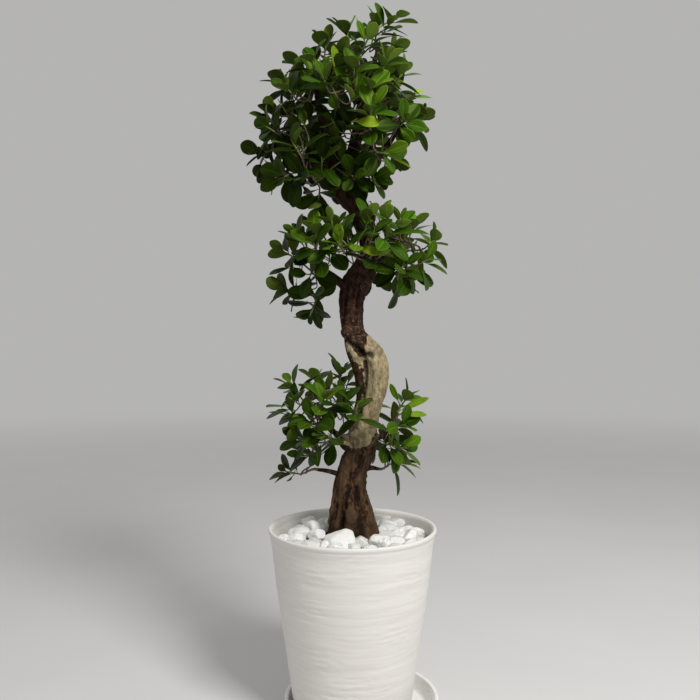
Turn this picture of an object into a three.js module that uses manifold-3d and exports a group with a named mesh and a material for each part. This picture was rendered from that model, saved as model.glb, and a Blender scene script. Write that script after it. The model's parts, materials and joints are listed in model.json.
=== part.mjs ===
// Chinese banyan bonsai (Ficus microcarpa) trained in an S, standing in a tall white pot on a
// saucer. Millimetres, +Z up. The origin is on the pot's axis, on the surface that it stands on.
import * as THREE from 'three';
import { mergeVertices } from 'three/addons/utils/BufferGeometryUtils.js';
import Module from 'manifold-3d';

const wasm = await Module();
wasm.setup();

// Pot, saucer and filling
const ROUND_SEGMENTS = 32;
const SAUCER_RADIUS = 119;
const SAUCER_HEIGHT = 30;
const SAUCER_FLOOR = 4;
const SAUCER_FLOOR_RADIUS = 103.4;
const SAUCER_LIP = 6;
const SAUCER_OFFSET_X = 14;
const POT_FOOT_Z = 4.3;
const POT_FOOT_RADIUS = 88.5;
const POT_FOOT_WIDTH = 10;
const POT_FOOT_RECESS = 3.5;
const POT_WALL = [[104.5, 112], [117.2, 200], [126.6, 282]];
const POT_RIM_Z = 290;
const POT_RIM_RADIUS = 130;
const POT_FLOOR_TOP = 11;
const POT_INNER_FOOT_RADIUS = 84.8;
const POT_INNER_RIM_RADIUS = 122.3;
const POT_INNER_RIM_Z = 281;
const DRAIN_RADIUS = 11;
const SOIL_TOP = 262;
const CLEARANCE = 0.35;
const JOINT_TOLERANCE = 0.05;

// Pebbles
const PEBBLE_COUNT = 40;
const PEBBLE_SEED = 7100;
const PEBBLE_BED_TOP = 268;
const PEBBLE_HEAP = 5;
const PEBBLE_TOLERANCE = 0.3;
const PEBBLE_RADIUS_MIN = 10;
const PEBBLE_RADIUS_MAX = 13.5;
const FRONT_PEBBLE = { at: [-20, -60, 276], size: [25, 16, 13.5] };

// Stump that stands in the hole in the soil
const STUMP_BOTTOM = 178;
const STUMP_BOTTOM_RADIUS = 20;
const STUMP_TOP_RADIUS = 32;
const STUMP_TOP = SOIL_TOP + 8;

// Trunk: x, y, z of the middle and the radius there, from the pebbles up to the crown's knuckle
const TRUNK_SIDES = 11;
const TRUNK_STATIONS = [
  [-2, 0, SOIL_TOP + CLEARANCE, 38.5],
  [-2, 0, 277, 37],
  [-2, 0, 291, 34],
  [-2, 0, 314, 29.5],
  [-3, 1, 347, 22.5],
  [-1, 1, 372, 20.5],
  [7, -1, 396, 20],
  [14, -4, 424, 20.5],
  [20, -7, 452, 19.5],
  [27, -9, 480, 17],
  [34, -11, 508, 18.5],
  [38, -10, 534, 17.5],
  [33, -7, 556, 16.5],
  [18, -3, 572, 15.5],
  [2, 1, 588, 16],
  [-2, 4, 612, 16.3],
  [-1, 6, 640, 18],
  [6, 6, 666, 20],
  [18, 5, 690, 18],
  [27, 3, 712, 15],
  [25, 1, 738, 14],
  [16, -1, 766, 14.3],
  [7, -2, 786, 15.5],
  [-4, -2, 804, 19.5],
  [-13, -1, 822, 22],
  [-18, 0, 836, 15],
];
const STRAND_SIDES = 6;
const STRAND_STATIONS = [
  [0, 2, 596, 11],
  [-2, -1, 578, 10.5],
  [4, -6, 557, 12],
  [11, -10, 533, 10.5],
  [13, -12, 509, 7.5],
  [13, -12, 485, 7.5],
  [9, -10, 462, 9],
  [9, -6, 442, 10],
];
const BARK_RIDGES = 5;
const BARK_RIDGE_DEPTH = 0.075;
const FLARE_RIDGE_DEPTH = 0.14;
const FLARE_TOP = 330;
const RIDGE_TWIST = 0.012;

// Woody limbs
const LIMB_SIDES = 5;
const STUB_LENGTH = 9;
const STUB_RADIUS = 3;
const STUB_SIDES = 4;

// The three heads of leaves. A limb has its radius at the trunk and at its far end, and the points
// x, y, z that it runs through. A spray has the limb that it leaves, how far along, from 0 to 1,
// and where the leaves of each of its shoots stand.
const HEADS = {
  crown: {
    centre: [-25, 0, 905],
    limbs: {
      left: { radii: [11, 5], points: [[-12, 0, 814], [-45, -5, 838], [-84, 0, 860], [-106, 4, 888]] },
      high_left: { radii: [12, 4.5], points: [[-16, 0, 824], [-36, 4, 872], [-48, 8, 928], [-58, 4, 972]] },
      top: {
        radii: [12, 4],
        points: [[-12, 0, 822], [4, -4, 880], [14, -2, 940], [26, 2, 990], [36, 0, 1018]],
      },
      right: { radii: [9, 4], points: [[-4, 0, 820], [24, 2, 846], [52, 4, 878], [72, 2, 908]] },
    },
    sprays: {
      top_right: { limb: 'top', at: 1, shoots: [[38, -12, 1054], [56, 14, 1030]] },
      top_middle: { limb: 'top', at: 0.8, shoots: [[-8, -15, 1042], [18, -44, 1016]] },
      top_left: { limb: 'high_left', at: 1, shoots: [[-42, -5, 1028], [-78, 12, 1006], [-58, -48, 984]] },
      front_high: { limb: 'top', at: 0.58, shoots: [[2, -75, 962], [45, -58, 978], [-38, -82, 944]] },
      right_high: { limb: 'top', at: 0.7, shoots: [[72, -4, 984], [62, 55, 978]] },
      right: { limb: 'right', at: 1, shoots: [[88, -5, 950], [98, 14, 922], [74, -46, 900]] },
      front_right: { limb: 'right', at: 0.5, shoots: [[26, -88, 902], [42, -62, 852], [56, 4, 856]] },
      left_high: { limb: 'high_left', at: 0.78, shoots: [[-104, -4, 972], [-90, -52, 942]] },
      left: { limb: 'left', at: 1, shoots: [[-124, 8, 930], [-118, -42, 890], [-136, 0, 870]] },
      left_low: { limb: 'left', at: 0.72, shoots: [[-122, 0, 836], [-102, -48, 820]] },
      low_front: { limb: 'left', at: 0.35, shoots: [[-76, -66, 814], [-50, -40, 796], [-80, -92, 850]] },
      low_right: { limb: 'right', at: 0.12, shoots: [[28, -28, 822], [0, -46, 822]] },
      back_top: { limb: 'top', at: 0.9, shoots: [[-10, 58, 1038], [42, 58, 1020]] },
      back_middle: { limb: 'high_left', at: 0.6, shoots: [[-55, 90, 992], [2, 100, 972], [-88, 74, 952]] },
      back_right: { limb: 'right', at: 0.75, shoots: [[82, 66, 946], [36, 88, 912]] },
      back_low: { limb: 'left', at: 0.5, shoots: [[-100, 66, 894], [-56, 88, 872], [-86, 52, 830]] },
    },
  },
  middle: {
    centre: [15, 0, 690],
    limbs: {
      left: { radii: [8, 4], points: [[0, 4, 652], [-24, -2, 672], [-52, -4, 692], [-72, 0, 706]] },
      right: { radii: [9, 4], points: [[24, 3, 698], [48, 2, 710], [72, 0, 716]] },
      front: { radii: [7, 4], points: [[22, 2, 690], [12, -24, 702], [4, -36, 706]] },
      back: { radii: [7, 4], points: [[22, 4, 704], [22, 26, 716], [26, 42, 722]] },
    },
    sprays: {
      left: { limb: 'left', at: 1, shoots: [[-98, 10, 712], [-74, 0, 734], [-56, -58, 716]] },
      hanging: { limb: 'left', at: 0.55, shoots: [[-98, 0, 655], [-60, -18, 628]] },
      front: { limb: 'front', at: 1, shoots: [[-16, -66, 712], [28, -58, 728]] },
      right: { limb: 'right', at: 1, shoots: [[122, 8, 730], [92, 4, 746], [72, -38, 744]] },
      right_low: { limb: 'right', at: 0.6, shoots: [[106, -22, 696], [72, -44, 686]] },
      back: { limb: 'back', at: 1, shoots: [[-12, 60, 746], [64, 60, 730]] },
    },
  },
  lower: {
    centre: [0, 0, 430],
    limbs: {
      left: { radii: [7, 4], points: [[8, -2, 412], [-24, 2, 432], [-52, 5, 456]] },
      front: { radii: [6, 3.5], points: [[10, -4, 408], [-6, -24, 418], [-18, -40, 428]] },
      right: { radii: [6, 3.5], points: [[12, -3, 414], [42, -4, 428], [60, 0, 444]] },
      right_low: { radii: [5, 3.2], points: [[0, 1, 372], [28, 0, 380], [42, 0, 378]] },
      hanging: { radii: [5, 3.2], points: [[-2, 1, 362], [-32, -2, 374], [-56, -2, 378]] },
      back: { radii: [6, 3.5], points: [[10, 2, 410], [4, 28, 430], [-4, 42, 446]] },
    },
    sprays: {
      left_high: { limb: 'left', at: 1, shoots: [[-90, 0, 502], [-56, 22, 508], [-18, 12, 522]] },
      left_middle: { limb: 'left', at: 0.7, shoots: [[-88, -28, 462], [-44, -42, 482]] },
      front: { limb: 'front', at: 1, shoots: [[-30, -62, 434], [4, -56, 470], [-70, -46, 428]] },
      hanging: { limb: 'hanging', at: 1, shoots: [[-92, 0, 372]] },
      right: { limb: 'right', at: 1, shoots: [[80, 0, 482], [74, -22, 448]] },
      right_low: { limb: 'right_low', at: 1, shoots: [[70, -2, 388]] },
      back: { limb: 'back', at: 1, shoots: [[-36, 56, 482], [32, 56, 468]] },
    },
  },
};

// Shoots and leaves
const SPRAY_SEED = 4200;
const SHOOT_SIDES = 3;
const SHOOT_STEP = 3.2;
const SHOOT_TWIST = THREE.MathUtils.degToRad(17.5);
const SHOOT_RADIUS = 1.5;
const SHOOT_LEAN = { outward: 0.55, up: 0.42, run: 0.5, wander: 0.35 };
const LEADER_RADIUS = 2.5;
const SIDE_RADIUS = 1.9;
const SIDE_SHOOT_AT = { first: 0.3, apart: 0.2 };
const SHOOT_BEND = { least: 0.4, more: 0.25 };
const SHOOT_ROOM = 0.6;
const BARE_STEPS = 3;
const LEADER_ROOT_PIECES = 2;
const BUD_LENGTH = 6;
const LEAVES_PER_SHOOT = [5, 6, 5];
const LEAF_THICKNESS = 0.9;
const LEAF_CLEARANCE = 1.1;
const LEAF_LENGTH = 46;
const LEAF_ATTEMPTS = 8;
const SHOOT_ATTEMPTS = 8;
const LEAF_OPENING = { young: 34, old: 78, wander: 16, closing: 5 };
const LEAF_ROLL = 34;
const LEAF_TO_LIGHT = 0.45;
const LEAF_TILT = { young: 0.12, ageing: 0.2, wander: 0.2 };
const LEAF_SIZE = { young: 0.72, ageing: 0.26, wander: 0.16, smaller: 0.05 };
const LEAF_WIDTH = { least: 0.52, spread: 0.07 };
const LEAF_FOLD = { least: 10, spread: 12 };
const LEAF_DROOP = { least: 0.06, spread: 0.12 };
const OUTLINE = { root: 1.2, lowAt: 0.42, lowWidth: 0.42, highAt: 0.8, highWidth: 0.43, rib: 0.6 };

// Finishes
const FINISHES = {
  saucer: { color: 0xe9e7e0, roughness: 0.3 },
  pot: { color: 0xe6e3dc, roughness: 0.62 },
  soil: { color: 0x3b2c20, roughness: 1 },
  pebbles: { color: 0xe8e8e2, roughness: 0.45 },
  bark: { color: 0x6e5d47, roughness: 0.9 },
  leaf: { color: 0x3f6a1e, roughness: 0.4 },
};

const UP = new THREE.Vector3(0, 0, 1);
const vector = (point) => new THREE.Vector3(point[0], point[1], point[2]);

const LIMBS = Object.values(HEADS).flatMap((head) => Object.values(head.limbs));
const SPRAYS = Object.entries(HEADS).flatMap(([headName, head]) => (
  Object.entries(head.sprays).map(([sprayName, { limb, at, shoots }]) => ({
    name: `${headName}_spray_${sprayName}`,
    centre: vector(head.centre),
    limb: head.limbs[limb],
    at,
    shoots,
  }))));

// Repeatable random numbers from 0 to 1
function randomFrom(seed) {
  let state = seed >>> 0;
  return () => {
    state = (state + 0x6d2b79f5) >>> 0;
    let mixed = Math.imul(state ^ (state >>> 15), state | 1);
    mixed ^= mixed + Math.imul(mixed ^ (mixed >>> 7), mixed | 61);
    return ((mixed ^ (mixed >>> 14)) >>> 0) / 4294967296;
  };
}

// A short vector with any direction
function anyWay(random) {
  return new THREE.Vector3(random() - 0.5, random() - 0.5, random() - 0.5);
}

// Closed geometry and solids
function toSolid(geometry) {
  const bare = geometry.clone();
  bare.deleteAttribute('normal');
  bare.deleteAttribute('uv');
  const merged = mergeVertices(bare, 1e-4);
  return new wasm.Manifold(new wasm.Mesh({
    numProp: 3,
    vertProperties: new Float32Array(merged.attributes.position.array),
    triVerts: new Uint32Array(merged.index.array),
  }));
}

function toGeometry(solid) {
  const mesh = solid.getMesh();
  const geometry = new THREE.BufferGeometry();
  geometry.setAttribute('position', new THREE.BufferAttribute(mesh.vertProperties, 3));
  geometry.setIndex(new THREE.BufferAttribute(mesh.triVerts, 1));
  geometry.computeVertexNormals();
  return geometry;
}

function joinSolids(solids) {
  return solids.reduce((whole, solid) => whole.add(solid));
}

// The body itself, without a loose scrap beside it, a sealed hollow in it or slivers along joints
function cleanBody(solid, tolerance = JOINT_TOLERANCE) {
  const body = solid.decompose().reduce((most, other) => (other.volume() > most.volume() ? other : most));
  return body.asOriginal().simplify(tolerance);
}

function geometryFrom(points, triangles) {
  const geometry = new THREE.BufferGeometry();
  geometry.setFromPoints(points);
  geometry.setIndex(triangles.flat());
  return geometry;
}

// A ring-by-ring skin round a row of equal rings, closed at both ends
function skin(rings) {
  const sides = rings[0].length;
  const triangles = [];
  rings.slice(1).forEach((ring, index) => {
    const low = index * sides;
    for (let side = 0; side < sides; side += 1) {
      const next = (side + 1) % sides;
      triangles.push([low + side, low + next, low + sides + next]);
      triangles.push([low + side, low + sides + next, low + sides + side]);
    }
  });
  const top = (rings.length - 1) * sides;
  for (let side = 1; side < sides - 1; side += 1) {
    triangles.push([0, side + 1, side]);
    triangles.push([top, top + side, top + side + 1]);
  }
  return geometryFrom(rings.flat(), triangles);
}

// Two unit vectors square to a direction, turned as little as can be from the one before
function squareFrame(direction, before) {
  const across = before.clone().addScaledVector(direction, -before.dot(direction)).normalize();
  return { across, other: new THREE.Vector3().crossVectors(direction, across) };
}

function firstAcross(direction) {
  const guide = Math.abs(direction.y) < 0.9 ? new THREE.Vector3(0, -1, 0) : new THREE.Vector3(1, 0, 0);
  return squareFrame(direction, guide).across;
}

// Stations along a smooth curve through points that carry a radius as their fourth value
function stationsAlong(stations, steps) {
  const curve = new THREE.CatmullRomCurve3(stations.map(vector), false, 'centripetal');
  const last = stations.length - 1;
  return Array.from({ length: steps + 1 }, (_, step) => {
    const along = step / steps;
    const index = Math.min(Math.floor(along * last), last - 1);
    const part = along * last - index;
    return {
      middle: curve.getPoint(along),
      direction: curve.getTangent(along),
      radius: THREE.MathUtils.lerp(stations[index][3], stations[index + 1][3], part),
    };
  });
}

function tubeRings(stations, sides, ridge = () => 1) {
  let across = firstAcross(stations[0].direction);
  return stations.map(({ middle, direction, radius }) => {
    const frame = squareFrame(direction, across);
    across = frame.across;
    return Array.from({ length: sides }, (_, side) => {
      const angle = (side / sides) * 2 * Math.PI;
      const reach = radius * ridge(angle, middle.z);
      return middle.clone()
        .addScaledVector(frame.across, reach * Math.cos(angle))
        .addScaledVector(frame.other, reach * Math.sin(angle));
    });
  });
}

function barkRidge(angle, height) {
  const flare = THREE.MathUtils.clamp((FLARE_TOP - height) / (FLARE_TOP - SOIL_TOP), 0, 1);
  const depth = BARK_RIDGE_DEPTH + (FLARE_RIDGE_DEPTH - BARK_RIDGE_DEPTH) * flare;
  return 1 + depth * Math.cos(BARK_RIDGES * (angle + RIDGE_TWIST * height));
}

// Pot, saucer and soil
function lathe(profile, segments = ROUND_SEGMENTS) {
  const outline = profile.map(([radius, height]) => new THREE.Vector2(radius, height));
  const geometry = new THREE.LatheGeometry(outline, segments);
  return geometry.rotateX(Math.PI / 2);
}

function saucerGeometry() {
  const underside = [[0, 0], [SAUCER_FLOOR_RADIUS + 1.6, 0], [SAUCER_FLOOR_RADIUS + 6.6, 3]];
  const lip = [
    [SAUCER_RADIUS - 2.5, SAUCER_HEIGHT - 5], [SAUCER_RADIUS, SAUCER_HEIGHT - 2.5],
    [SAUCER_RADIUS - 2, SAUCER_HEIGHT], [SAUCER_RADIUS - SAUCER_LIP, SAUCER_HEIGHT - 1.5],
  ];
  const inside = [
    [SAUCER_FLOOR_RADIUS + 3.6, SAUCER_FLOOR + 3], [SAUCER_FLOOR_RADIUS, SAUCER_FLOOR], [0, SAUCER_FLOOR],
  ];
  return lathe([...underside, ...lip, ...inside]).translate(SAUCER_OFFSET_X, 0, 0);
}

const potInnerRadius = (height) => THREE.MathUtils.mapLinear(
  height, POT_FLOOR_TOP, POT_INNER_RIM_Z, POT_INNER_FOOT_RADIUS, POT_INNER_RIM_RADIUS);

function potGeometry() {
  const footRing = [[POT_FOOT_RADIUS - POT_FOOT_WIDTH, POT_FOOT_Z], [POT_FOOT_RADIUS, POT_FOOT_Z]];
  const bead = [
    [POT_RIM_RADIUS - 0.7, POT_RIM_Z - 6.5], [POT_RIM_RADIUS, POT_RIM_Z - 3],
    [POT_RIM_RADIUS - 2.6, POT_RIM_Z], [POT_RIM_RADIUS - 6, POT_RIM_Z - 1.2],
  ];
  const inside = [[POT_INNER_RIM_RADIUS, POT_INNER_RIM_Z], [POT_INNER_FOOT_RADIUS, POT_FLOOR_TOP]];
  const recess = POT_FOOT_Z + POT_FOOT_RECESS;
  const drain = [
    [DRAIN_RADIUS, POT_FLOOR_TOP], [DRAIN_RADIUS, recess], [POT_FOOT_RADIUS - POT_FOOT_WIDTH - 3, recess],
  ];
  return lathe([...footRing, ...POT_WALL, ...bead, ...inside, ...drain, footRing[0]]);
}

function soilGeometry() {
  const profile = [
    [0, POT_FLOOR_TOP + CLEARANCE],
    [potInnerRadius(POT_FLOOR_TOP + CLEARANCE) - CLEARANCE, POT_FLOOR_TOP + CLEARANCE],
    [potInnerRadius(SOIL_TOP) - CLEARANCE, SOIL_TOP],
    [STUMP_TOP_RADIUS + 2 * CLEARANCE, SOIL_TOP],
    [STUMP_BOTTOM_RADIUS + 2 * CLEARANCE, STUMP_BOTTOM - CLEARANCE],
    [0, STUMP_BOTTOM - CLEARANCE],
  ];
  return lathe(profile);
}

// Pebbles: a spiral of flattened stones sunk in a thin bed, with room for the trunk's foot
function pebbleSolid(trunkFoot) {
  const bedBottom = SOIL_TOP + CLEARANCE;
  const bed = toSolid(lathe([
    [0, bedBottom], [potInnerRadius(bedBottom) - CLEARANCE, bedBottom],
    [potInnerRadius(PEBBLE_BED_TOP) - CLEARANCE, PEBBLE_BED_TOP], [0, PEBBLE_BED_TOP],
  ]));
  const stones = pebblePlaces().map(({ at, size, turn }) => {
    const stone = new THREE.IcosahedronGeometry(1, 0);
    stone.applyMatrix4(new THREE.Matrix4().makeRotationFromEuler(turn));
    stone.scale(...size);
    return toSolid(stone.translate(...at));
  });
  return cleanBody(joinSolids([bed, ...stones]).subtract(trunkFoot), PEBBLE_TOLERANCE);
}

function pebblePlaces() {
  const random = randomFrom(PEBBLE_SEED);
  const inner = STUMP_TOP_RADIUS + 14;
  const outer = potInnerRadius(POT_INNER_RIM_Z) - PEBBLE_RADIUS_MAX - 3;
  const golden = Math.PI * (3 - Math.sqrt(5));
  const places = Array.from({ length: PEBBLE_COUNT }, (_, index) => {
    const share = (index + 0.5) / PEBBLE_COUNT;
    const reach = Math.sqrt(inner * inner + share * (outer * outer - inner * inner));
    const angle = index * golden + 0.3 * random();
    const radius = THREE.MathUtils.lerp(PEBBLE_RADIUS_MIN, PEBBLE_RADIUS_MAX, random());
    const heap = PEBBLE_HEAP * (1 - share) + 3 * random();
    const size = [radius * (1 + 0.2 * random()), radius, radius * (0.7 + 0.2 * random())];
    const turn = new THREE.Euler(6 * random(), 6 * random(), 6 * random());
    const height = SOIL_TOP + 2 * CLEARANCE + size[2] + heap;
    return { at: [reach * Math.cos(angle), reach * Math.sin(angle), height], size, turn };
  });
  const front = { at: FRONT_PEBBLE.at, size: FRONT_PEBBLE.size, turn: new THREE.Euler(0.3, 0.2, 0.1) };
  const clearOfFront = ({ at }) => Math.hypot(at[0] - front.at[0], at[1] - front.at[1]) > 22;
  return [front, ...places.filter(clearOfFront)];
}

// Wood: the trunk, its second strand, the limbs and the short stubs that the sprays leave from
const trunkStations = stationsAlong(TRUNK_STATIONS, TRUNK_STATIONS.length + 3);
const strandStations = stationsAlong(STRAND_STATIONS, STRAND_STATIONS.length + 1);

function limbStations(limb) {
  const last = limb.points.length - 1;
  const stations = limb.points.map((point, index) => {
    const radius = THREE.MathUtils.lerp(limb.radii[0], limb.radii[1], index / last);
    return [...point, radius];
  });
  return stationsAlong(stations, limb.points.length);
}

function pointOnLimb(limb, share) {
  const curve = new THREE.CatmullRomCurve3(limb.points.map(vector), false, 'centripetal');
  return { middle: curve.getPoint(share), direction: curve.getTangent(share) };
}

function stubOf(spray) {
  const { limb } = spray;
  const { middle, direction } = pointOnLimb(limb, spray.at);
  if (spray.at === 1) {
    return { start: middle, end: middle, heading: direction };
  }
  const heading = vector(spray.shoots[0]).sub(middle).normalize();
  const limbRadius = THREE.MathUtils.lerp(limb.radii[0], limb.radii[1], spray.at);
  return { start: middle, end: middle.clone().addScaledVector(heading, STUB_LENGTH + limbRadius), heading };
}

function stubGeometry(spray) {
  const { start, end, heading } = stubOf(spray);
  const stations = [start, end].map((middle) => ({ middle, direction: heading, radius: STUB_RADIUS }));
  return skin(tubeRings(stations, STUB_SIDES));
}

function trunkSolid() {
  const stump = toSolid(lathe([
    [0, STUMP_BOTTOM], [STUMP_BOTTOM_RADIUS, STUMP_BOTTOM], [STUMP_TOP_RADIUS, SOIL_TOP],
    [STUMP_TOP_RADIUS, STUMP_TOP], [0, STUMP_TOP],
  ], ROUND_SEGMENTS / 2));
  const stem = toSolid(skin(tubeRings(trunkStations, TRUNK_SIDES, barkRidge)));
  const strand = toSolid(skin(tubeRings(strandStations, STRAND_SIDES)));
  const limbs = LIMBS.map((limb) => toSolid(skin(tubeRings(limbStations(limb), LIMB_SIDES))));
  const stubs = SPRAYS.filter(({ at }) => at < 1).map((spray) => toSolid(stubGeometry(spray)));
  return cleanBody(joinSolids([stump, stem, strand, ...limbs, ...stubs]));
}

// Everything woody as short round-ended bars, for keeping twigs and leaves clear of it
function barsAlong(stations, node) {
  return stations.slice(1).map((station, index) => ({
    node,
    from: stations[index].middle,
    to: station.middle,
    radius: 1.1 * Math.max(stations[index].radius, station.radius),
  }));
}

function woodBars() {
  const bars = [...barsAlong(trunkStations, 'trunk'), ...barsAlong(strandStations, 'trunk')];
  LIMBS.forEach((limb) => bars.push(...barsAlong(limbStations(limb), 'trunk')));
  SPRAYS.filter(({ at }) => at < 1).forEach((spray) => {
    const { start, end } = stubOf(spray);
    bars.push({ node: 'trunk', from: start, to: end, radius: STUB_RADIUS });
  });
  return bars;
}

// Shortest distance between two straight pieces
function barDistance(a0, a1, b0, b1) {
  const along = a1.clone().sub(a0);
  const other = b1.clone().sub(b0);
  const between = a0.clone().sub(b0);
  const aa = along.dot(along);
  const bb = other.dot(other);
  const ab = along.dot(other);
  const ad = along.dot(between);
  const bd = other.dot(between);
  const det = aa * bb - ab * ab;
  let s = det > 1e-9 ? THREE.MathUtils.clamp((ab * bd - bb * ad) / det, 0, 1) : 0;
  const t = THREE.MathUtils.clamp((ab * s + bd) / bb, 0, 1);
  s = THREE.MathUtils.clamp((ab * t - ad) / aa, 0, 1);
  return a0.clone().addScaledVector(along, s).distanceTo(b0.clone().addScaledVector(other, t));
}

// A shoot: a curved bare twig and then a straight leafy end, with a frame at each ring
function planShoot(spray, sprayIndex, shootIndex, leader, attempt) {
  const random = randomFrom(SPRAY_SEED + 1000 * sprayIndex + 50 * shootIndex + 7 * attempt);
  const rosette = vector(spray.shoots[shootIndex]);
  const stub = stubOf(spray);
  const start = leader ? pointOnShoot(leader, SIDE_SHOOT_AT.first + SIDE_SHOOT_AT.apart * shootIndex) : {
    middle: stub.end.clone().addScaledVector(stub.heading, CLEARANCE), direction: stub.heading,
  };
  const run = rosette.clone().sub(start.middle).normalize();
  const outward = rosette.clone().sub(spray.centre).normalize();
  const axis = outward.multiplyScalar(SHOOT_LEAN.outward)
    .addScaledVector(UP, SHOOT_LEAN.up)
    .addScaledVector(run, SHOOT_LEAN.run)
    .addScaledVector(anyWay(random), SHOOT_LEAN.wander)
    .normalize();
  const leaves = LEAVES_PER_SHOOT[Math.floor(random() * LEAVES_PER_SHOOT.length)];
  const leafyStart = rosette.clone().addScaledVector(axis, -0.5 * leaves * SHOOT_STEP);
  const reach = leafyStart.distanceTo(start.middle) / 3;
  const heading = leader ? start.direction.clone().multiplyScalar(0.5).add(run).normalize() : start.direction;
  const bend = anyWay(random).multiplyScalar(reach * (SHOOT_BEND.least + SHOOT_BEND.more * attempt));
  const curve = new THREE.CubicBezierCurve3(
    start.middle,
    start.middle.clone().addScaledVector(heading, reach),
    leafyStart.clone().addScaledVector(axis, -reach).add(bend),
    leafyStart,
  );
  return { curve, axis, leaves, radii: [leader ? SIDE_RADIUS : LEADER_RADIUS, SHOOT_RADIUS] };
}

function pointOnShoot(shoot, share) {
  return { middle: shoot.curve.getPoint(share), direction: shoot.curve.getTangent(share) };
}

function shootBars(shoot, node) {
  const points = Array.from({ length: BARE_STEPS + 1 }, (_, step) => shoot.curve.getPoint(step / BARE_STEPS));
  points.push(points[BARE_STEPS].clone().addScaledVector(shoot.axis, shoot.leaves * SHOOT_STEP + BUD_LENGTH));
  return points.slice(1).map((to, index) => ({ node, from: points[index], to, radius: SIDE_RADIUS }));
}

// The first pieces of a leader are let off: it starts on the wood that it grows from
function shootIsClear(bars, others, isLeader) {
  return bars.every((bar, index) => others.every((other) => {
    if (other.node === bar.node || (isLeader && index < LEADER_ROOT_PIECES && other.node === 'trunk')) {
      return true;
    }
    return barDistance(bar.from, bar.to, other.from, other.to) > bar.radius + other.radius + SHOOT_ROOM;
  }));
}

// Plans every shoot, bending each one clear of the wood and twigs of the other nodes
function planSprays() {
  const bars = woodBars();
  return SPRAYS.map((spray, sprayIndex) => {
    const shoots = [];
    spray.shoots.forEach((_, shootIndex) => {
      const isLeader = shootIndex === 0;
      let shoot;
      let clear = false;
      for (let attempt = 0; attempt < SHOOT_ATTEMPTS && !clear; attempt += 1) {
        shoot = planShoot(spray, sprayIndex, shootIndex, shoots[0], attempt);
        clear = shootIsClear(shootBars(shoot, spray.name), bars, isLeader);
      }
      shoots.push(shoot);
    });
    shoots.forEach((shoot) => bars.push(...shootBars(shoot, spray.name)));
    return { spray, sprayIndex, shoots };
  });
}

// The rings of a shoot, three corners each, with the leafy end turned a little at every ring
function shootRings(shoot) {
  const stations = Array.from({ length: BARE_STEPS + 1 }, (_, step) => ({
    middle: shoot.curve.getPoint(step / BARE_STEPS),
    direction: step === BARE_STEPS ? shoot.axis : shoot.curve.getTangent(step / BARE_STEPS),
    radius: THREE.MathUtils.lerp(shoot.radii[0], shoot.radii[1], step / BARE_STEPS),
  }));
  let across = firstAcross(stations[0].direction);
  const rings = [];
  const ringAt = (middle, frame, radius, turn) => Array.from({ length: SHOOT_SIDES }, (_, side) => {
    const angle = turn + (side / SHOOT_SIDES) * 2 * Math.PI;
    return middle.clone()
      .addScaledVector(frame.across, radius * Math.cos(angle))
      .addScaledVector(frame.other, radius * Math.sin(angle));
  });
  let frame;
  stations.forEach(({ middle, direction, radius }) => {
    frame = squareFrame(direction, across);
    across = frame.across;
    rings.push(ringAt(middle, frame, radius, 0));
  });
  const leafyStart = stations[BARE_STEPS].middle;
  for (let step = 1; step <= shoot.leaves; step += 1) {
    const middle = leafyStart.clone().addScaledVector(shoot.axis, step * SHOOT_STEP);
    rings.push(ringAt(middle, frame, SHOOT_RADIUS, step * SHOOT_TWIST));
  }
  const bud = leafyStart.clone().addScaledVector(shoot.axis, shoot.leaves * SHOOT_STEP + BUD_LENGTH);
  return { rings, bud, frame };
}

// The axis turned towards the side by so many degrees
function turned(side, axis, degrees) {
  const angle = THREE.MathUtils.degToRad(degrees);
  return axis.clone().multiplyScalar(Math.cos(angle)).addScaledVector(side, Math.sin(angle));
}

// One leaf: where it starts, which way it points and faces, its size, fold and droop
function planLeaf(shoot, frame, seed, index, attempt) {
  const random = randomFrom(seed + 101 * index + 13 * attempt);
  const age = 1 - index / (shoot.leaves - 1);
  const side = index % SHOOT_SIDES;
  const angle = ((side + 0.5) / SHOOT_SIDES) * 2 * Math.PI + (index + 0.5) * SHOOT_TWIST;
  const out = turned(frame.other, frame.across, THREE.MathUtils.radToDeg(angle));
  const opening = LEAF_OPENING.young + (LEAF_OPENING.old - LEAF_OPENING.young) * age
    + LEAF_OPENING.wander * (random() - 0.5) - LEAF_OPENING.closing * attempt;
  const direction = turned(out, shoot.axis, opening);
  direction.z += LEAF_TILT.young - LEAF_TILT.ageing * age + LEAF_TILT.wander * (random() - 0.5);
  direction.normalize();
  const facing = shoot.axis.clone().addScaledVector(UP, LEAF_TO_LIGHT);
  const roll = THREE.MathUtils.degToRad(LEAF_ROLL * (random() - 0.5));
  const normal = squareFrame(direction, facing).across.applyAxisAngle(direction, roll);
  const shrink = 1 - LEAF_SIZE.smaller * Math.max(attempt - 2, 0);
  const growth = LEAF_SIZE.young + LEAF_SIZE.ageing * age + LEAF_SIZE.wander * (random() - 0.5);
  const length = LEAF_LENGTH * shrink * growth;
  const base = shoot.curve.getPoint(1)
    .addScaledVector(shoot.axis, (index + 0.5) * SHOOT_STEP)
    .addScaledVector(out, 0.5 * SHOOT_RADIUS);
  return {
    base,
    direction,
    normal,
    length,
    width: length * (LEAF_WIDTH.least + LEAF_WIDTH.spread * random()),
    fold: Math.tan(THREE.MathUtils.degToRad(LEAF_FOLD.least + LEAF_FOLD.spread * random())),
    droop: LEAF_DROOP.least + LEAF_DROOP.spread * random(),
  };
}

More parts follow.
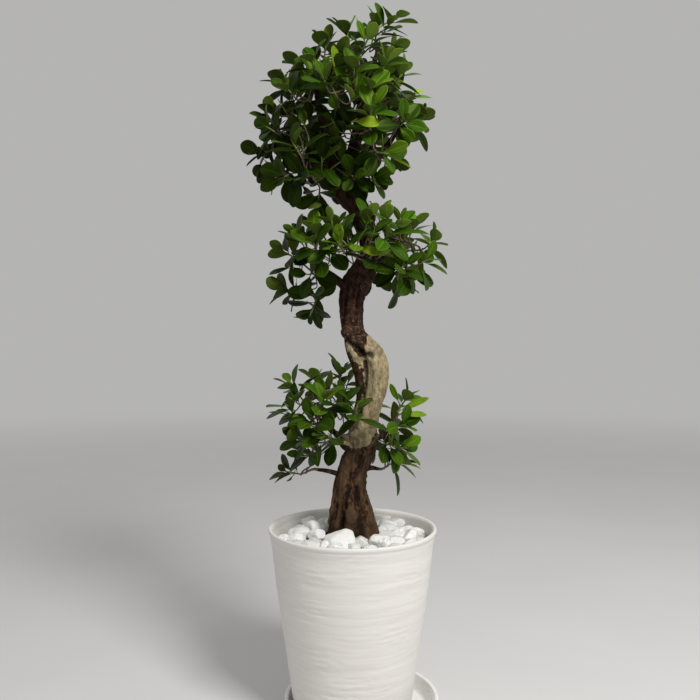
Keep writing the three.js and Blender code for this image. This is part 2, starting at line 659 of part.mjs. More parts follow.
// Corner points of the upper face: root left, low left, high left, tip, high right, low right,
// root right, and the middle of the rib last. The lift shifts them all along the leaf's normal.
function leafPoints(leaf, lift = 0) {
  const sideways = new THREE.Vector3().crossVectors(leaf.normal, leaf.direction);
  const pointAt = (share, across) => {
    const rise = Math.abs(across) * leaf.fold - leaf.droop * leaf.length * share * share;
    return leaf.base.clone()
      .addScaledVector(leaf.direction, share * leaf.length)
      .addScaledVector(sideways, across)
      .addScaledVector(leaf.normal, rise + lift);
  };
  const low = OUTLINE.lowWidth * leaf.width;
  const high = OUTLINE.highWidth * leaf.width;
  return [
    pointAt(0, -OUTLINE.root), pointAt(OUTLINE.lowAt, -low), pointAt(OUTLINE.highAt, -high), pointAt(1, 0),
    pointAt(OUTLINE.highAt, high), pointAt(OUTLINE.lowAt, low), pointAt(0, OUTLINE.root),
    pointAt(OUTLINE.rib, 0),
  ];
}

const RIM_CORNERS = 7;
const RIB = 7;

function leafSheet(leaf, lift) {
  const points = leafPoints(leaf, lift);
  const faces = Array.from({ length: RIM_CORNERS }, (_, corner) => [
    points[RIB], points[corner], points[(corner + 1) % RIM_CORNERS],
  ]);
  const edges = faces.flatMap(([rib, from, to]) => [[rib, from], [from, to]]);
  return { faces, edges };
}

function edgeCrossesFace(start, end, [a, b, c]) {
  const edge1 = b.clone().sub(a);
  const edge2 = c.clone().sub(a);
  const ray = end.clone().sub(start);
  const cross = ray.clone().cross(edge2);
  const det = edge1.dot(cross);
  if (Math.abs(det) < 1e-9) {
    return false;
  }
  const offset = start.clone().sub(a);
  const u = offset.dot(cross) / det;
  if (u < 0 || u > 1) {
    return false;
  }
  const lean = offset.cross(edge1);
  const v = ray.dot(lean) / det;
  if (v < 0 || u + v > 1) {
    return false;
  }
  const along = edge2.dot(lean) / det;
  return along >= 0 && along <= 1;
}

function sheetsCross(first, second) {
  const crosses = (one, other) => one.edges.some(([start, end]) => (
    other.faces.some((face) => edgeCrossesFace(start, end, face))));
  return crosses(first, second) || crosses(second, first);
}

// A planned leaf with its sheets, its reach, and a few points for keeping clear of wood
function leafShape(leaf) {
  const lifts = [0, LEAF_CLEARANCE, -LEAF_CLEARANCE - 0.5 * LEAF_THICKNESS];
  const sheets = lifts.map((lift) => leafSheet(leaf, lift));
  const points = leafPoints(leaf);
  const middle = points[RIB];
  const reach = Math.max(...points.map((point) => point.distanceTo(middle)));
  return { leaf, sheets, points, middle, reach };
}

function leavesMeet(one, other) {
  if (one.middle.distanceTo(other.middle) > one.reach + other.reach + 2) {
    return false;
  }
  return one.sheets.some((sheet) => sheetsCross(sheet, other.sheets[0]))
    || other.sheets.slice(1).some((sheet) => sheetsCross(sheet, one.sheets[0]));
}

function leafMeetsBar(shape, bar) {
  const room = bar.radius + LEAF_CLEARANCE;
  const nearby = shape.middle.clone().addScaledVector(UP, 0.01);
  if (barDistance(bar.from, bar.to, shape.middle, nearby) > shape.reach + room) {
    return false;
  }
  const { faces, edges } = shape.sheets[0];
  return faces.some((face) => edgeCrossesFace(bar.from, bar.to, face))
    || edges.some(([start, end]) => barDistance(start, end, bar.from, bar.to) < room);
}

function planLeaves(plans, bars) {
  const placed = [];
  plans.forEach(({ sprayIndex, shoots }) => {
    shoots.forEach((shoot, shootIndex) => {
      const { frame } = shootRings(shoot);
      const seed = SPRAY_SEED + 100000 + 2000 * sprayIndex + 500 * shootIndex;
      shoot.leafShapes = Array.from({ length: shoot.leaves }, (_, index) => {
        for (let attempt = 0; attempt < LEAF_ATTEMPTS; attempt += 1) {
          const shape = leafShape(planLeaf(shoot, frame, seed, index, attempt));
          const clear = !placed.some((other) => leavesMeet(shape, other))
            && !bars.some((bar) => bar.shoot !== shoot && leafMeetsBar(shape, bar));
          if (clear) {
            placed.push(shape);
            return shape;
          }
        }
        return null;
      });
    });
  });
}

// A shoot's mesh: the twig's faces, each leaf in the place of one of them, and a pointed bud
function shootGeometry(shoot) {
  const { rings, bud } = shootRings(shoot);
  const points = [...rings.flat(), bud];
  const triangles = [[0, 2, 1]];
  rings.slice(1).forEach((_, index) => {
    const low = index * SHOOT_SIDES;
    const high = low + SHOOT_SIDES;
    const leafIndex = index - BARE_STEPS;
    for (let side = 0; side < SHOOT_SIDES; side += 1) {
      const next = (side + 1) % SHOOT_SIDES;
      const shape = leafIndex >= 0 && side === leafIndex % SHOOT_SIDES ? shoot.leafShapes[leafIndex] : null;
      if (shape) {
        addLeaf(points, triangles, shape.leaf, [low + side, low + next, high + next, high + side]);
      } else {
        triangles.push([low + side, low + next, high + next], [low + side, high + next, high + side]);
      }
    }
  });
  const top = (rings.length - 1) * SHOOT_SIDES;
  const tip = rings.length * SHOOT_SIDES;
  for (let side = 0; side < SHOOT_SIDES; side += 1) {
    triangles.push([top + side, top + ((side + 1) % SHOOT_SIDES), tip]);
  }
  return geometryFrom(points, triangles);
}

// The blade grows out of a four-cornered opening in the twig: low left, low right, high right,
// high left, seen from outside
function addLeaf(points, triangles, leaf, [lowLeft, lowRight, highRight, highLeft]) {
  const upper = leafPoints(leaf);
  const lower = upper.map((point) => point.clone().addScaledVector(leaf.normal, -LEAF_THICKNESS));
  const first = points.length;
  points.push(...upper.slice(1, 6), upper[RIB], ...lower.slice(1, 6), lower[RIB]);
  const upperIndex = [highLeft, first, first + 1, first + 2, first + 3, first + 4, highRight];
  const lowerIndex = [lowLeft, first + 6, first + 7, first + 8, first + 9, first + 10, lowRight];
  const upperRib = first + 5;
  const lowerRib = first + 11;
  for (let corner = 0; corner < RIM_CORNERS; corner += 1) {
    const next = (corner + 1) % RIM_CORNERS;
    triangles.push([upperRib, upperIndex[corner], upperIndex[next]]);
    triangles.push([lowerRib, lowerIndex[next], lowerIndex[corner]]);
    if (corner < RIM_CORNERS - 1) {
      triangles.push([upperIndex[corner], lowerIndex[corner], lowerIndex[next]]);
      triangles.push([upperIndex[corner], lowerIndex[next], upperIndex[next]]);
    }
  }
}

// The finished group
const bonsai = new THREE.Group();

function addPart(name, geometry, finish) {
  const material = new THREE.MeshStandardMaterial({ ...FINISHES[finish], metalness: 0 });
  const mesh = new THREE.Mesh(geometry, material);
  mesh.name = name;
  bonsai.add(mesh);
}

// The trunk's foot grown by a little, to keep the pebbles off it
const footStations = trunkStations.filter(({ middle }) => middle.z < FLARE_TOP);
footStations.unshift({ ...footStations[0], middle: footStations[0].middle.clone().addScaledVector(UP, -2) });
const sleeveStations = footStations.map((station) => (
  { ...station, radius: station.radius + 1.5 * CLEARANCE }));
const footSleeve = toSolid(skin(tubeRings(sleeveStations, TRUNK_SIDES, barkRidge)));

addPart('saucer', saucerGeometry(), 'saucer');
addPart('pot', potGeometry(), 'pot');
addPart('soil', soilGeometry(), 'soil');
addPart('pebbles', toGeometry(pebbleSolid(footSleeve)), 'pebbles');
addPart('trunk', toGeometry(trunkSolid()), 'bark');

const plans = planSprays();
const allBars = woodBars();
plans.forEach(({ spray, shoots }) => shoots.forEach((shoot) => {
  shootBars(shoot, spray.name).forEach((bar) => allBars.push({ ...bar, shoot }));
}));
planLeaves(plans, allBars);
plans.forEach(({ spray, shoots }) => {
  const solid = cleanBody(joinSolids(shoots.map((shoot) => toSolid(shootGeometry(shoot)))));
  addPart(spray.name, toGeometry(solid), 'leaf');
});

export default bonsai;
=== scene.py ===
# Chinese banyan bonsai (Ficus microcarpa) trained in an S, in a tall white pot on a saucer.
# Sizes are in millimetres, and become metres where a mesh is made. The origin is on the pot's axis,
# on the surface that the saucer stands on.
import json
import math

import bmesh
import bpy
import numpy as np
from mathutils import Euler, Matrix, Vector, kdtree, noise

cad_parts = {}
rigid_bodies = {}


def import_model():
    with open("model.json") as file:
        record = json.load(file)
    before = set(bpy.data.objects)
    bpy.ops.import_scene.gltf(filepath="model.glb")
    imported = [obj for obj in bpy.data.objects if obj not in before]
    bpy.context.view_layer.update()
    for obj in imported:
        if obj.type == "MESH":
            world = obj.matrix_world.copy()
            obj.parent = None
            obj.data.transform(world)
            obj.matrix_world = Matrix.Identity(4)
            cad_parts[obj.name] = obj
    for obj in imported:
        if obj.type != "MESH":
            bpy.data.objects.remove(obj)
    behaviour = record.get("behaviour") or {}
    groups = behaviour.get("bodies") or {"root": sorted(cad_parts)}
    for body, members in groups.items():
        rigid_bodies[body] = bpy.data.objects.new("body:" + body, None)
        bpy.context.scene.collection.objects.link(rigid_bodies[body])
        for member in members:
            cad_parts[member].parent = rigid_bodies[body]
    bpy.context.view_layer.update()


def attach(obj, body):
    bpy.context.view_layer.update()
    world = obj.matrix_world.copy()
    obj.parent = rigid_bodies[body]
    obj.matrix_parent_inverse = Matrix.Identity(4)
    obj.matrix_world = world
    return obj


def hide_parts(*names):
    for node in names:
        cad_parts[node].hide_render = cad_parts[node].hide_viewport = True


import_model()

MM = 0.001

# Pot, saucer and filling, in millimetres
SAUCER_RADIUS = 119
SAUCER_HEIGHT = 30
SAUCER_FLOOR = 4
SAUCER_FLOOR_RADIUS = 103.4
SAUCER_LIP = 6
SAUCER_OFFSET_X = 14
POT_FOOT_Z = 4.3
POT_FOOT_RADIUS = 88.5
POT_FOOT_WIDTH = 10
POT_FOOT_RECESS = 3.5
POT_WALL = [(104.5, 112), (117.2, 200), (126.6, 282)]
POT_RIM_Z = 290
POT_RIM_RADIUS = 130
POT_FLOOR_TOP = 11
POT_INNER_FOOT_RADIUS = 84.8
POT_INNER_RIM_RADIUS = 122.3
POT_INNER_RIM_Z = 281
DRAIN_RADIUS = 11
SOIL_TOP = 262
CLEARANCE = 0.35

# Stump that stands in the hole in the soil
STUMP_BOTTOM = 178
STUMP_BOTTOM_RADIUS = 20
STUMP_TOP_RADIUS = 32
STUMP_TOP = SOIL_TOP + 8

# Trunk: x, y, z of the middle and the radius there, from the pebbles up to the crown's knuckle
TRUNK_STATIONS = [
    (-2, 0, SOIL_TOP + CLEARANCE, 38.5),
    (-2, 0, 277, 37),
    (-2, 0, 291, 34),
    (-2, 0, 314, 29.5),
    (-3, 1, 347, 22.5),
    (-1, 1, 372, 20.5),
    (7, -1, 396, 20),
    (14, -4, 424, 20.5),
    (20, -7, 452, 19.5),
    (27, -9, 480, 17),
    (34, -11, 508, 18.5),
    (38, -10, 534, 17.5),
    (33, -7, 556, 16.5),
    (18, -3, 572, 15.5),
    (2, 1, 588, 16),
    (-2, 4, 612, 16.3),
    (-1, 6, 640, 18),
    (6, 6, 666, 20),
    (18, 5, 690, 18),
    (27, 3, 712, 15),
    (25, 1, 738, 14),
    (16, -1, 766, 14.3),
    (7, -2, 786, 15.5),
    (-4, -2, 804, 19.5),
    (-13, -1, 822, 22),
    (-18, 0, 836, 15),
]
STRAND_STATIONS = [
    (0, 2, 596, 11),
    (-2, -1, 578, 10.5),
    (4, -6, 557, 12),
    (11, -10, 533, 10.5),
    (13, -12, 509, 7.5),
    (13, -12, 485, 7.5),
    (9, -10, 462, 9),
    (9, -6, 442, 10),
]
BARK_RIDGES = 5
BARK_RIDGE_DEPTH = 0.075
FLARE_RIDGE_DEPTH = 0.14
FLARE_TOP = 330
RIDGE_TWIST = 0.012
STUB_LENGTH = 9
STUB_RADIUS = 3

# The three heads of leaves. A limb has its radius at the trunk and at its far end, and the points
# x, y, z that it runs through. A spray has the limb that it leaves, how far along, from 0 to 1,
# and where the leaves of each of its shoots stand.
HEADS = {
    "crown": {
        "centre": (-25, 0, 905),
        "limbs": {
            "left": ((11, 5), [(-12, 0, 814), (-45, -5, 838), (-84, 0, 860), (-106, 4, 888)]),
            "high_left": ((12, 4.5), [(-16, 0, 824), (-36, 4, 872), (-48, 8, 928), (-58, 4, 972)]),
            "top": ((12, 4), [(-12, 0, 822), (4, -4, 880), (14, -2, 940), (26, 2, 990), (36, 0, 1018)]),
            "right": ((9, 4), [(-4, 0, 820), (24, 2, 846), (52, 4, 878), (72, 2, 908)]),
        },
        "sprays": {
            "top_right": ("top", 1, [(38, -12, 1054), (56, 14, 1030)]),
            "top_middle": ("top", 0.8, [(-8, -15, 1042), (18, -44, 1016)]),
            "top_left": ("high_left", 1, [(-42, -5, 1028), (-78, 12, 1006), (-58, -48, 984)]),
            "front_high": ("top", 0.58, [(2, -75, 962), (45, -58, 978), (-38, -82, 944)]),
            "right_high": ("top", 0.7, [(72, -4, 984), (62, 55, 978)]),
            "right": ("right", 1, [(88, -5, 950), (98, 14, 922), (74, -46, 900)]),
            "front_right": ("right", 0.5, [(26, -88, 902), (42, -62, 852), (56, 4, 856)]),
            "left_high": ("high_left", 0.78, [(-104, -4, 972), (-90, -52, 942)]),
            "left": ("left", 1, [(-124, 8, 930), (-118, -42, 890), (-136, 0, 870)]),
            "left_low": ("left", 0.72, [(-122, 0, 836), (-102, -48, 820)]),
            "low_front": ("left", 0.35, [(-76, -66, 814), (-50, -40, 796), (-80, -92, 850)]),
            "low_right": ("right", 0.12, [(28, -28, 822), (0, -46, 822)]),
            "back_top": ("top", 0.9, [(-10, 58, 1038), (42, 58, 1020)]),
            "back_middle": ("high_left", 0.6, [(-55, 90, 992), (2, 100, 972), (-88, 74, 952)]),
            "back_right": ("right", 0.75, [(82, 66, 946), (36, 88, 912)]),
            "back_low": ("left", 0.5, [(-100, 66, 894), (-56, 88, 872), (-86, 52, 830)]),
        },
    },
    "middle": {
        "centre": (15, 0, 690),
        "limbs": {
            "left": ((8, 4), [(0, 4, 652), (-24, -2, 672), (-52, -4, 692), (-72, 0, 706)]),
            "right": ((9, 4), [(24, 3, 698), (48, 2, 710), (72, 0, 716)]),
            "front": ((7, 4), [(22, 2, 690), (12, -24, 702), (4, -36, 706)]),
            "back": ((7, 4), [(22, 4, 704), (22, 26, 716), (26, 42, 722)]),
        },
        "sprays": {
            "left": ("left", 1, [(-98, 10, 712), (-74, 0, 734), (-56, -58, 716)]),
            "hanging": ("left", 0.55, [(-98, 0, 655), (-60, -18, 628)]),
            "front": ("front", 1, [(-16, -66, 712), (28, -58, 728)]),
            "right": ("right", 1, [(122, 8, 730), (92, 4, 746), (72, -38, 744)]),
            "right_low": ("right", 0.6, [(106, -22, 696), (72, -44, 686)]),
            "back": ("back", 1, [(-12, 60, 746), (64, 60, 730)]),
        },
    },
    "lower": {
        "centre": (0, 0, 430),
        "limbs": {
            "left": ((7, 4), [(8, -2, 412), (-24, 2, 432), (-52, 5, 456)]),
            "front": ((6, 3.5), [(10, -4, 408), (-6, -24, 418), (-18, -40, 428)]),
            "right": ((6, 3.5), [(12, -3, 414), (42, -4, 428), (60, 0, 444)]),
            "right_low": ((5, 3.2), [(0, 1, 372), (28, 0, 380), (42, 0, 378)]),
            "hanging": ((5, 3.2), [(-2, 1, 362), (-32, -2, 374), (-56, -2, 378)]),
            "back": ((6, 3.5), [(10, 2, 410), (4, 28, 430), (-4, 42, 446)]),
        },
        "sprays": {
            "left_high": ("left", 1, [(-90, 0, 502), (-56, 22, 508), (-18, 12, 522)]),
            "left_middle": ("left", 0.7, [(-88, -28, 462), (-44, -42, 482)]),
            "front": ("front", 1, [(-30, -62, 434), (4, -56, 470), (-70, -46, 428)]),
            "hanging": ("hanging", 1, [(-92, 0, 372)]),
            "right": ("right", 1, [(80, 0, 482), (74, -22, 448)]),
            "right_low": ("right_low", 1, [(70, -2, 388)]),
            "back": ("back", 1, [(-36, 56, 482), (32, 56, 468)]),
        },
    },
}

# Shoots and leaves. Where a value is a pair, a random draw adds up to the second to the first.
SHOOT_SIDES = 3
SHOOT_STEP = 3.2
SHOOT_TWIST = math.radians(17.5)
SHOOT_RADIUS = 1.5
SHOOT_LEAN = {"outward": 0.55, "up": 0.42, "run": 0.5, "wander": 0.35}
LEADER_RADIUS = 2.5
SIDE_RADIUS = 1.9
SIDE_SHOOT_AT = {"first": 0.3, "apart": 0.2}
SIDE_SHOOT_KEEPS = 0.5
SHOOT_BEND = {"least": 0.4, "more": 0.25}
SHOOT_ROOM = 0.6
BARE_STEPS = 3
LEADER_ROOT_PIECES = 2
BUD_LENGTH = 6
LEAVES_PER_SHOOT = [5, 6, 5]
LEAF_THICKNESS = 0.9
LEAF_CLEARANCE = 1.1
LEAF_LENGTH = 46
LEAF_ATTEMPTS = 8
SHOOT_ATTEMPTS = 8
FULL_SIZE_ATTEMPTS = 2
LEAF_OPENING = {"young": 34, "old": 78, "wander": 16, "closing": 5}
LEAF_ROLL = 34
LEAF_TO_LIGHT = 0.45
LEAF_TILT = {"young": 0.12, "ageing": 0.2, "wander": 0.2}
LEAF_SIZE = {"young": 0.72, "ageing": 0.26, "wander": 0.16, "smaller": 0.05}
LEAF_SHAPE = {"width": (0.52, 0.07), "fold": (10, 12), "droop": (0.06, 0.12)}
OUTLINE = {"root": 1.2, "low_at": 0.42, "low_width": 0.42, "high_at": 0.8, "high_width": 0.43, "rib": 0.6}
RIM_CORNERS = 7
RIB = 7

# Seeds of the random draws: the first of each kind, and the steps to the next spray and shoot
SPRAY_SEED = 4200
SHOOT_SEEDS = (0, 1000, 50)
LEAF_SEEDS = (100000, 2000, 500)
EXTRA_LEAF_SEEDS = (700000, 20000, 1000)
INNER_TWIG_SEEDS = (1300000, 6000, 800)
CHOSEN_TWIG_SEEDS = (1700000, 200, 0)
CHOSEN_LEAF_SEEDS = (1800000, 200, 90)
BLADE_SEED = 900001
TONE_SEED = 500009
SHOOT_ATTEMPT_STEP = 7
LEAF_STEP = 101
LEAF_ATTEMPT_STEP = 13
EXTRA_LEAF_STEP = 271
EXTRA_ATTEMPT_STEP = 17
INNER_TWIG_STEP = 100

NEARLY_ZERO = 1e-9
HEADING_STEP = 1e-4
TRUNK_ROOM = 1.1
LEAF_SEARCH_ROOM = 2
POINT_LENGTH = 0.01
UP = np.array([0.0, 0.0, 1.0])
WORD = 0xFFFFFFFF


# Repeatable random numbers from 0 to 1
def random_from(seed):
    state = seed & WORD

    def draw():
        nonlocal state
        state = (state + 0x6D2B79F5) & WORD
        mixed = ((state ^ (state >> 15)) * (state | 1)) & WORD
        mixed ^= (mixed + (((mixed ^ (mixed >> 7)) * (mixed | 61)) & WORD)) & WORD
        return (mixed ^ (mixed >> 14)) / 4294967296

    return draw


def seed_of(kind, spray, shoot=0):
    first, spray_step, shoot_step = kind
    return SPRAY_SEED + first + spray_step * spray + shoot_step * shoot


def any_way(draw):
    return np.array([draw() - 0.5, draw() - 0.5, draw() - 0.5])


# A value to either side of none, up to half the size
def wander(draw, size):
    return size * (draw() - 0.5)


def drawn(draw, pair):
    return pair[0] + pair[1] * draw()


def unit(vector):
    return vector / math.sqrt(float(vector @ vector))


def square_to(direction, guide):
    return unit(guide - direction * float(guide @ direction))


def first_across(direction):
    guide = np.array([0.0, -1.0, 0.0]) if abs(direction[1]) < 0.9 else np.array([1.0, 0.0, 0.0])
    return square_to(direction, guide)


class Curve:
    """Anything with places along it from 0 to 1."""

    def heading(self, share):
        return unit(self.at(min(share + HEADING_STEP, 1)) - self.at(max(share - HEADING_STEP, 0)))


class ThroughCurve(Curve):
    """A smooth curve through points, with even bends whatever their spacing."""

    def __init__(self, points):
        self.points = [np.array(point[:3], dtype=float) for point in points]

    def at(self, share):
        points = self.points
        last = len(points) - 1
        place = last * share
        index = int(math.floor(place))
        weight = place - index
        if index >= last:
            index, weight = last - 1, 1.0
        p1, p2 = points[index], points[index + 1]
        p0 = points[index - 1] if index > 0 else 2 * points[0] - points[1]
        p3 = points[index + 2] if index + 2 <= last else 2 * points[last] - points[last - 1]
        gap0, gap1, gap2 = (math.sqrt(math.dist(a, b)) for a, b in ((p0, p1), (p1, p2), (p2, p3)))
        lean1 = ((p1 - p0) / gap0 - (p2 - p0) / (gap0 + gap1) + (p2 - p1) / gap1) * gap1
        lean2 = ((p2 - p1) / gap1 - (p3 - p1) / (gap1 + gap2) + (p3 - p2) / gap2) * gap1
        square = -3 * p1 + 3 * p2 - 2 * lean1 - lean2
        cube = 2 * p1 - 2 * p2 + lean1 + lean2
        return p1 + lean1 * weight + square * weight ** 2 + cube * weight ** 3


class BendCurve(Curve):
    """A curve from one point to another, pulled by two points between them."""

    def __init__(self, *points):
        self.points = points

    def at(self, share):
        rest = 1 - share
        p0, p1, p2, p3 = self.points
        return rest ** 3 * p0 + 3 * rest ** 2 * share * p1 + 3 * rest * share ** 2 * p2 + share ** 3 * p3


# The middle, heading and radius at even steps along a row of x, y, z and radius
def stations_along(stations, steps):
    curve = ThroughCurve(stations)
    last = len(stations) - 1
    found = []
    for step in range(steps + 1):
        along = step / steps
        index = min(int(math.floor(along * last)), last - 1)
        part = along * last - index
        radius = stations[index][3] + (stations[index + 1][3] - stations[index][3]) * part
        found.append((curve.at(along), curve.heading(along), radius))
    return found


def limb_line(limb):
    radii, points = limb
    last = len(points) - 1
    return [(*point, radii[0] + (radii[1] - radii[0]) * index / last) for index, point in enumerate(points)]


LIMBS = [limb for head in HEADS.values() for limb in head["limbs"].values()]
SPRAYS = [
    {"name": f"{head_name}_spray_{name}", "centre": np.array(head["centre"], dtype=float),
     "limb": head["limbs"][limb], "at": at, "shoots": [np.array(place, dtype=float) for place in places]}
    for head_name, head in HEADS.items()
    for name, (limb, at, places) in head["sprays"].items()
]


# Start, end and heading of the stub that a spray grows from; at the end of a limb it has no length
def stub_of(spray):
    radii, points = spray["limb"]
    curve = ThroughCurve(points)
    middle, direction = curve.at(spray["at"]), curve.heading(spray["at"])
    if spray["at"] == 1:
        return middle, middle, direction
    heading = unit(spray["shoots"][0] - middle)
    limb_radius = radii[0] + (radii[1] - radii[0]) * spray["at"]
    return middle, middle + heading * (STUB_LENGTH + limb_radius), heading


class Bars:
    """Wood and twigs as short round-ended bars, for keeping twigs and leaves clear of them."""

    def __init__(self):
        self.rows = []
        self.owners = []

    def add(self, start, end, radius, node, shoot=None):
        self.rows.append([*start, *end, radius])
        self.owners.append((node, shoot))

    def arrays(self, keep):
        rows = np.array([row for row, owner in zip(self.rows, self.owners) if keep(*owner)]).reshape(-1, 7)
        return rows[:, :3], rows[:, 3:6], rows[:, 6]


def wood_bars():
    bars = Bars()
    lines = [
        stations_along(TRUNK_STATIONS, len(TRUNK_STATIONS) + 3),
        stations_along(STRAND_STATIONS, len(STRAND_STATIONS) + 1),
    ]
    lines += [stations_along(limb_line(limb), len(limb[1])) for limb in LIMBS]
    for line in lines:
        for (start, _, radius), (end, _, other) in zip(line, line[1:]):
            bars.add(start, end, TRUNK_ROOM * max(radius, other), "trunk")
    for spray in SPRAYS:
        if spray["at"] < 1:
            start, end, _ = stub_of(spray)
            bars.add(start, end, STUB_RADIUS, "trunk")
    return bars


def dots(one, other):
    return np.sum(one * other, axis=-1)


# Shortest distances between straight pieces, whose arrays may be of any matching shape
def bar_distances(a0, a1, b0, b1):
    along, other, between = a1 - a0, b1 - b0, a0 - b0
    aa, bb, ab = dots(along, along), dots(other, other), dots(along, other)
    ad, bd = dots(along, between), dots(other, between)
    det = aa * bb - ab * ab
    safe = np.where(det > NEARLY_ZERO, det, 1)
    s = np.where(det > NEARLY_ZERO, np.clip((ab * bd - bb * ad) / safe, 0, 1), 0)
    t = np.clip((ab * s + bd) / bb, 0, 1)
    s = np.clip((ab * t - ad) / aa, 0, 1)
    gap = a0 + along * s[..., None] - b0 - other * t[..., None]
    return np.sqrt(dots(gap, gap))


# A shoot: a curved bare twig and then a straight leafy end
def plan_shoot(spray, spray_index, shoot_index, leader, attempt):
    draw = random_from(seed_of(SHOOT_SEEDS, spray_index, shoot_index) + SHOOT_ATTEMPT_STEP * attempt)
    rosette = spray["shoots"][shoot_index]
    if leader:
        share = SIDE_SHOOT_AT["first"] + SIDE_SHOOT_AT["apart"] * shoot_index
        start, start_heading = leader["curve"].at(share), leader["curve"].heading(share)
    else:
        _, end, start_heading = stub_of(spray)
        start = end + start_heading * CLEARANCE
    run = unit(rosette - start)
    outward = unit(rosette - spray["centre"])
    axis = unit(outward * SHOOT_LEAN["outward"] + UP * SHOOT_LEAN["up"] + run * SHOOT_LEAN["run"]
                + any_way(draw) * SHOOT_LEAN["wander"])
    leaves = LEAVES_PER_SHOOT[int(draw() * len(LEAVES_PER_SHOOT))]
    leafy_start = rosette - axis * 0.5 * leaves * SHOOT_STEP
    reach = math.dist(leafy_start, start) / 3
    heading = unit(start_heading * SIDE_SHOOT_KEEPS + run) if leader else start_heading
    bend = any_way(draw) * (reach * (SHOOT_BEND["least"] + SHOOT_BEND["more"] * attempt))
    curve = BendCurve(start, start + heading * reach, leafy_start - axis * reach + bend, leafy_start)
    return {"curve": curve, "axis": axis, "leaves": leaves, "shapes": [],
            "radii": (SIDE_RADIUS if leader else LEADER_RADIUS, SHOOT_RADIUS)}


def shoot_bars(shoot):
    points = [shoot["curve"].at(step / BARE_STEPS) for step in range(BARE_STEPS + 1)]
    points.append(points[-1] + shoot["axis"] * (shoot["leaves"] * SHOOT_STEP + BUD_LENGTH))
    return list(zip(points, points[1:]))


# Whether a shoot keeps clear of the others' wood; a leader's root may touch the trunk's
def shoot_is_clear(pieces, bars, name, is_leader):
    for index, (start, end) in enumerate(pieces):
        rooted = is_leader and index < LEADER_ROOT_PIECES
        starts, ends, radii = bars.arrays(
            lambda node, _: node != name and not (rooted and node == "trunk"))
        if np.any(bar_distances(start, end, starts, ends) <= SIDE_RADIUS + radii + SHOOT_ROOM):
            return False
    return True


# Every shoot of every spray, bent clear of the wood and twigs of the others
def plan_sprays():
    bars = wood_bars()
    plans = []
    for spray_index, spray in enumerate(SPRAYS):
        shoots = []
        for shoot_index in range(len(spray["shoots"])):
            leader = shoots[0] if shoots else None
            for attempt in range(SHOOT_ATTEMPTS):
                shoot = plan_shoot(spray, spray_index, shoot_index, leader, attempt)
                if shoot_is_clear(shoot_bars(shoot), bars, spray["name"], leader is None):
                    break
            shoots.append(shoot)
        for shoot in shoots:
            shoot["frame"] = leafy_frame(shoot)
            for start, end in shoot_bars(shoot):
                bars.add(start, end, SIDE_RADIUS, spray["name"], id(shoot))
        plans.append({"name": spray["name"], "index": spray_index, "shoots": shoots})
    return plans, bars


# Two directions square to a shoot's leafy end and to each other, from which its leaves are turned
def leafy_frame(shoot):
    across = first_across(shoot["curve"].heading(0))
    for step in range(BARE_STEPS + 1):
        direction = shoot["axis"] if step == BARE_STEPS else shoot["curve"].heading(step / BARE_STEPS)
        across = square_to(direction, across)
    return across, np.cross(shoot["axis"], across)


def turned_about(vector, axis, angle):
    cos, sin = math.cos(angle), math.sin(angle)
    return vector * cos + np.cross(axis, vector) * sin + axis * float(axis @ vector) * (1 - cos)


# A leaf in its place. The draws give it its width, fold and droop within what the shape names.
def leaf_at(base, direction, normal, length, age, seed, draw, shape):
    width, fold, droop = (drawn(draw, shape[name]) for name in ("width", "fold", "droop"))
    return {"base": base, "direction": direction, "normal": normal, "length": length, "age": age,
            "seed": seed, "width": length * width, "fold": math.tan(math.radians(fold)), "droop": droop}


# The leaves of a shoot stand in a spiral, the young ones at its tip steeper and smaller
def plan_leaf(shoot, seed, index, attempt):
    draw = random_from(seed + LEAF_STEP * index + LEAF_ATTEMPT_STEP * attempt)
    axis = shoot["axis"]
    across, other = shoot["frame"]
    age = 1 - index / (shoot["leaves"] - 1)
    angle = ((index % SHOOT_SIDES + 0.5) / SHOOT_SIDES) * 2 * math.pi + (index + 0.5) * SHOOT_TWIST
    out = across * math.cos(angle) + other * math.sin(angle)
    opening = math.radians(
        LEAF_OPENING["young"] + (LEAF_OPENING["old"] - LEAF_OPENING["young"]) * age
        + wander(draw, LEAF_OPENING["wander"]) - LEAF_OPENING["closing"] * attempt)
    direction = axis * math.cos(opening) + out * math.sin(opening)
    direction[2] += LEAF_TILT["young"] - LEAF_TILT["ageing"] * age + wander(draw, LEAF_TILT["wander"])
    direction = unit(direction)
    roll = math.radians(wander(draw, LEAF_ROLL))
    normal = turned_about(square_to(direction, axis + UP * LEAF_TO_LIGHT), direction, roll)
    shrink = 1 - LEAF_SIZE["smaller"] * max(attempt - FULL_SIZE_ATTEMPTS, 0)
    length = LEAF_LENGTH * shrink * (
        LEAF_SIZE["young"] + LEAF_SIZE["ageing"] * age + wander(draw, LEAF_SIZE["wander"]))
    base = shoot["curve"].at(1) + axis * (index + 0.5) * SHOOT_STEP + out * 0.5 * SHOOT_RADIUS
    return leaf_at(base, direction, normal, length, age, seed + LEAF_STEP * index, draw, LEAF_SHAPE)


# Corner points of the plain leaf: root, low, high, tip, high, low and root again round its edge,
# and the middle of the rib last
def leaf_corners(leaf, lift=0.0):
    low_at, low = OUTLINE["low_at"], OUTLINE["low_width"] * leaf["width"]
    high_at, high = OUTLINE["high_at"], OUTLINE["high_width"] * leaf["width"]
    root = OUTLINE["root"]
    places = np.array([(0, -root), (low_at, -low), (high_at, -high), (1, 0), (high_at, high), (low_at, low),
                       (0, root), (OUTLINE["rib"], 0)])
    share, across = places[:, 0:1], places[:, 1:2]
    rise = np.abs(across) * leaf["fold"] - leaf["droop"] * leaf["length"] * share ** 2
    sideways = np.cross(leaf["normal"], leaf["direction"])
    return (leaf["base"] + leaf["direction"] * share * leaf["length"]
            + sideways * across + leaf["normal"] * (rise + lift))


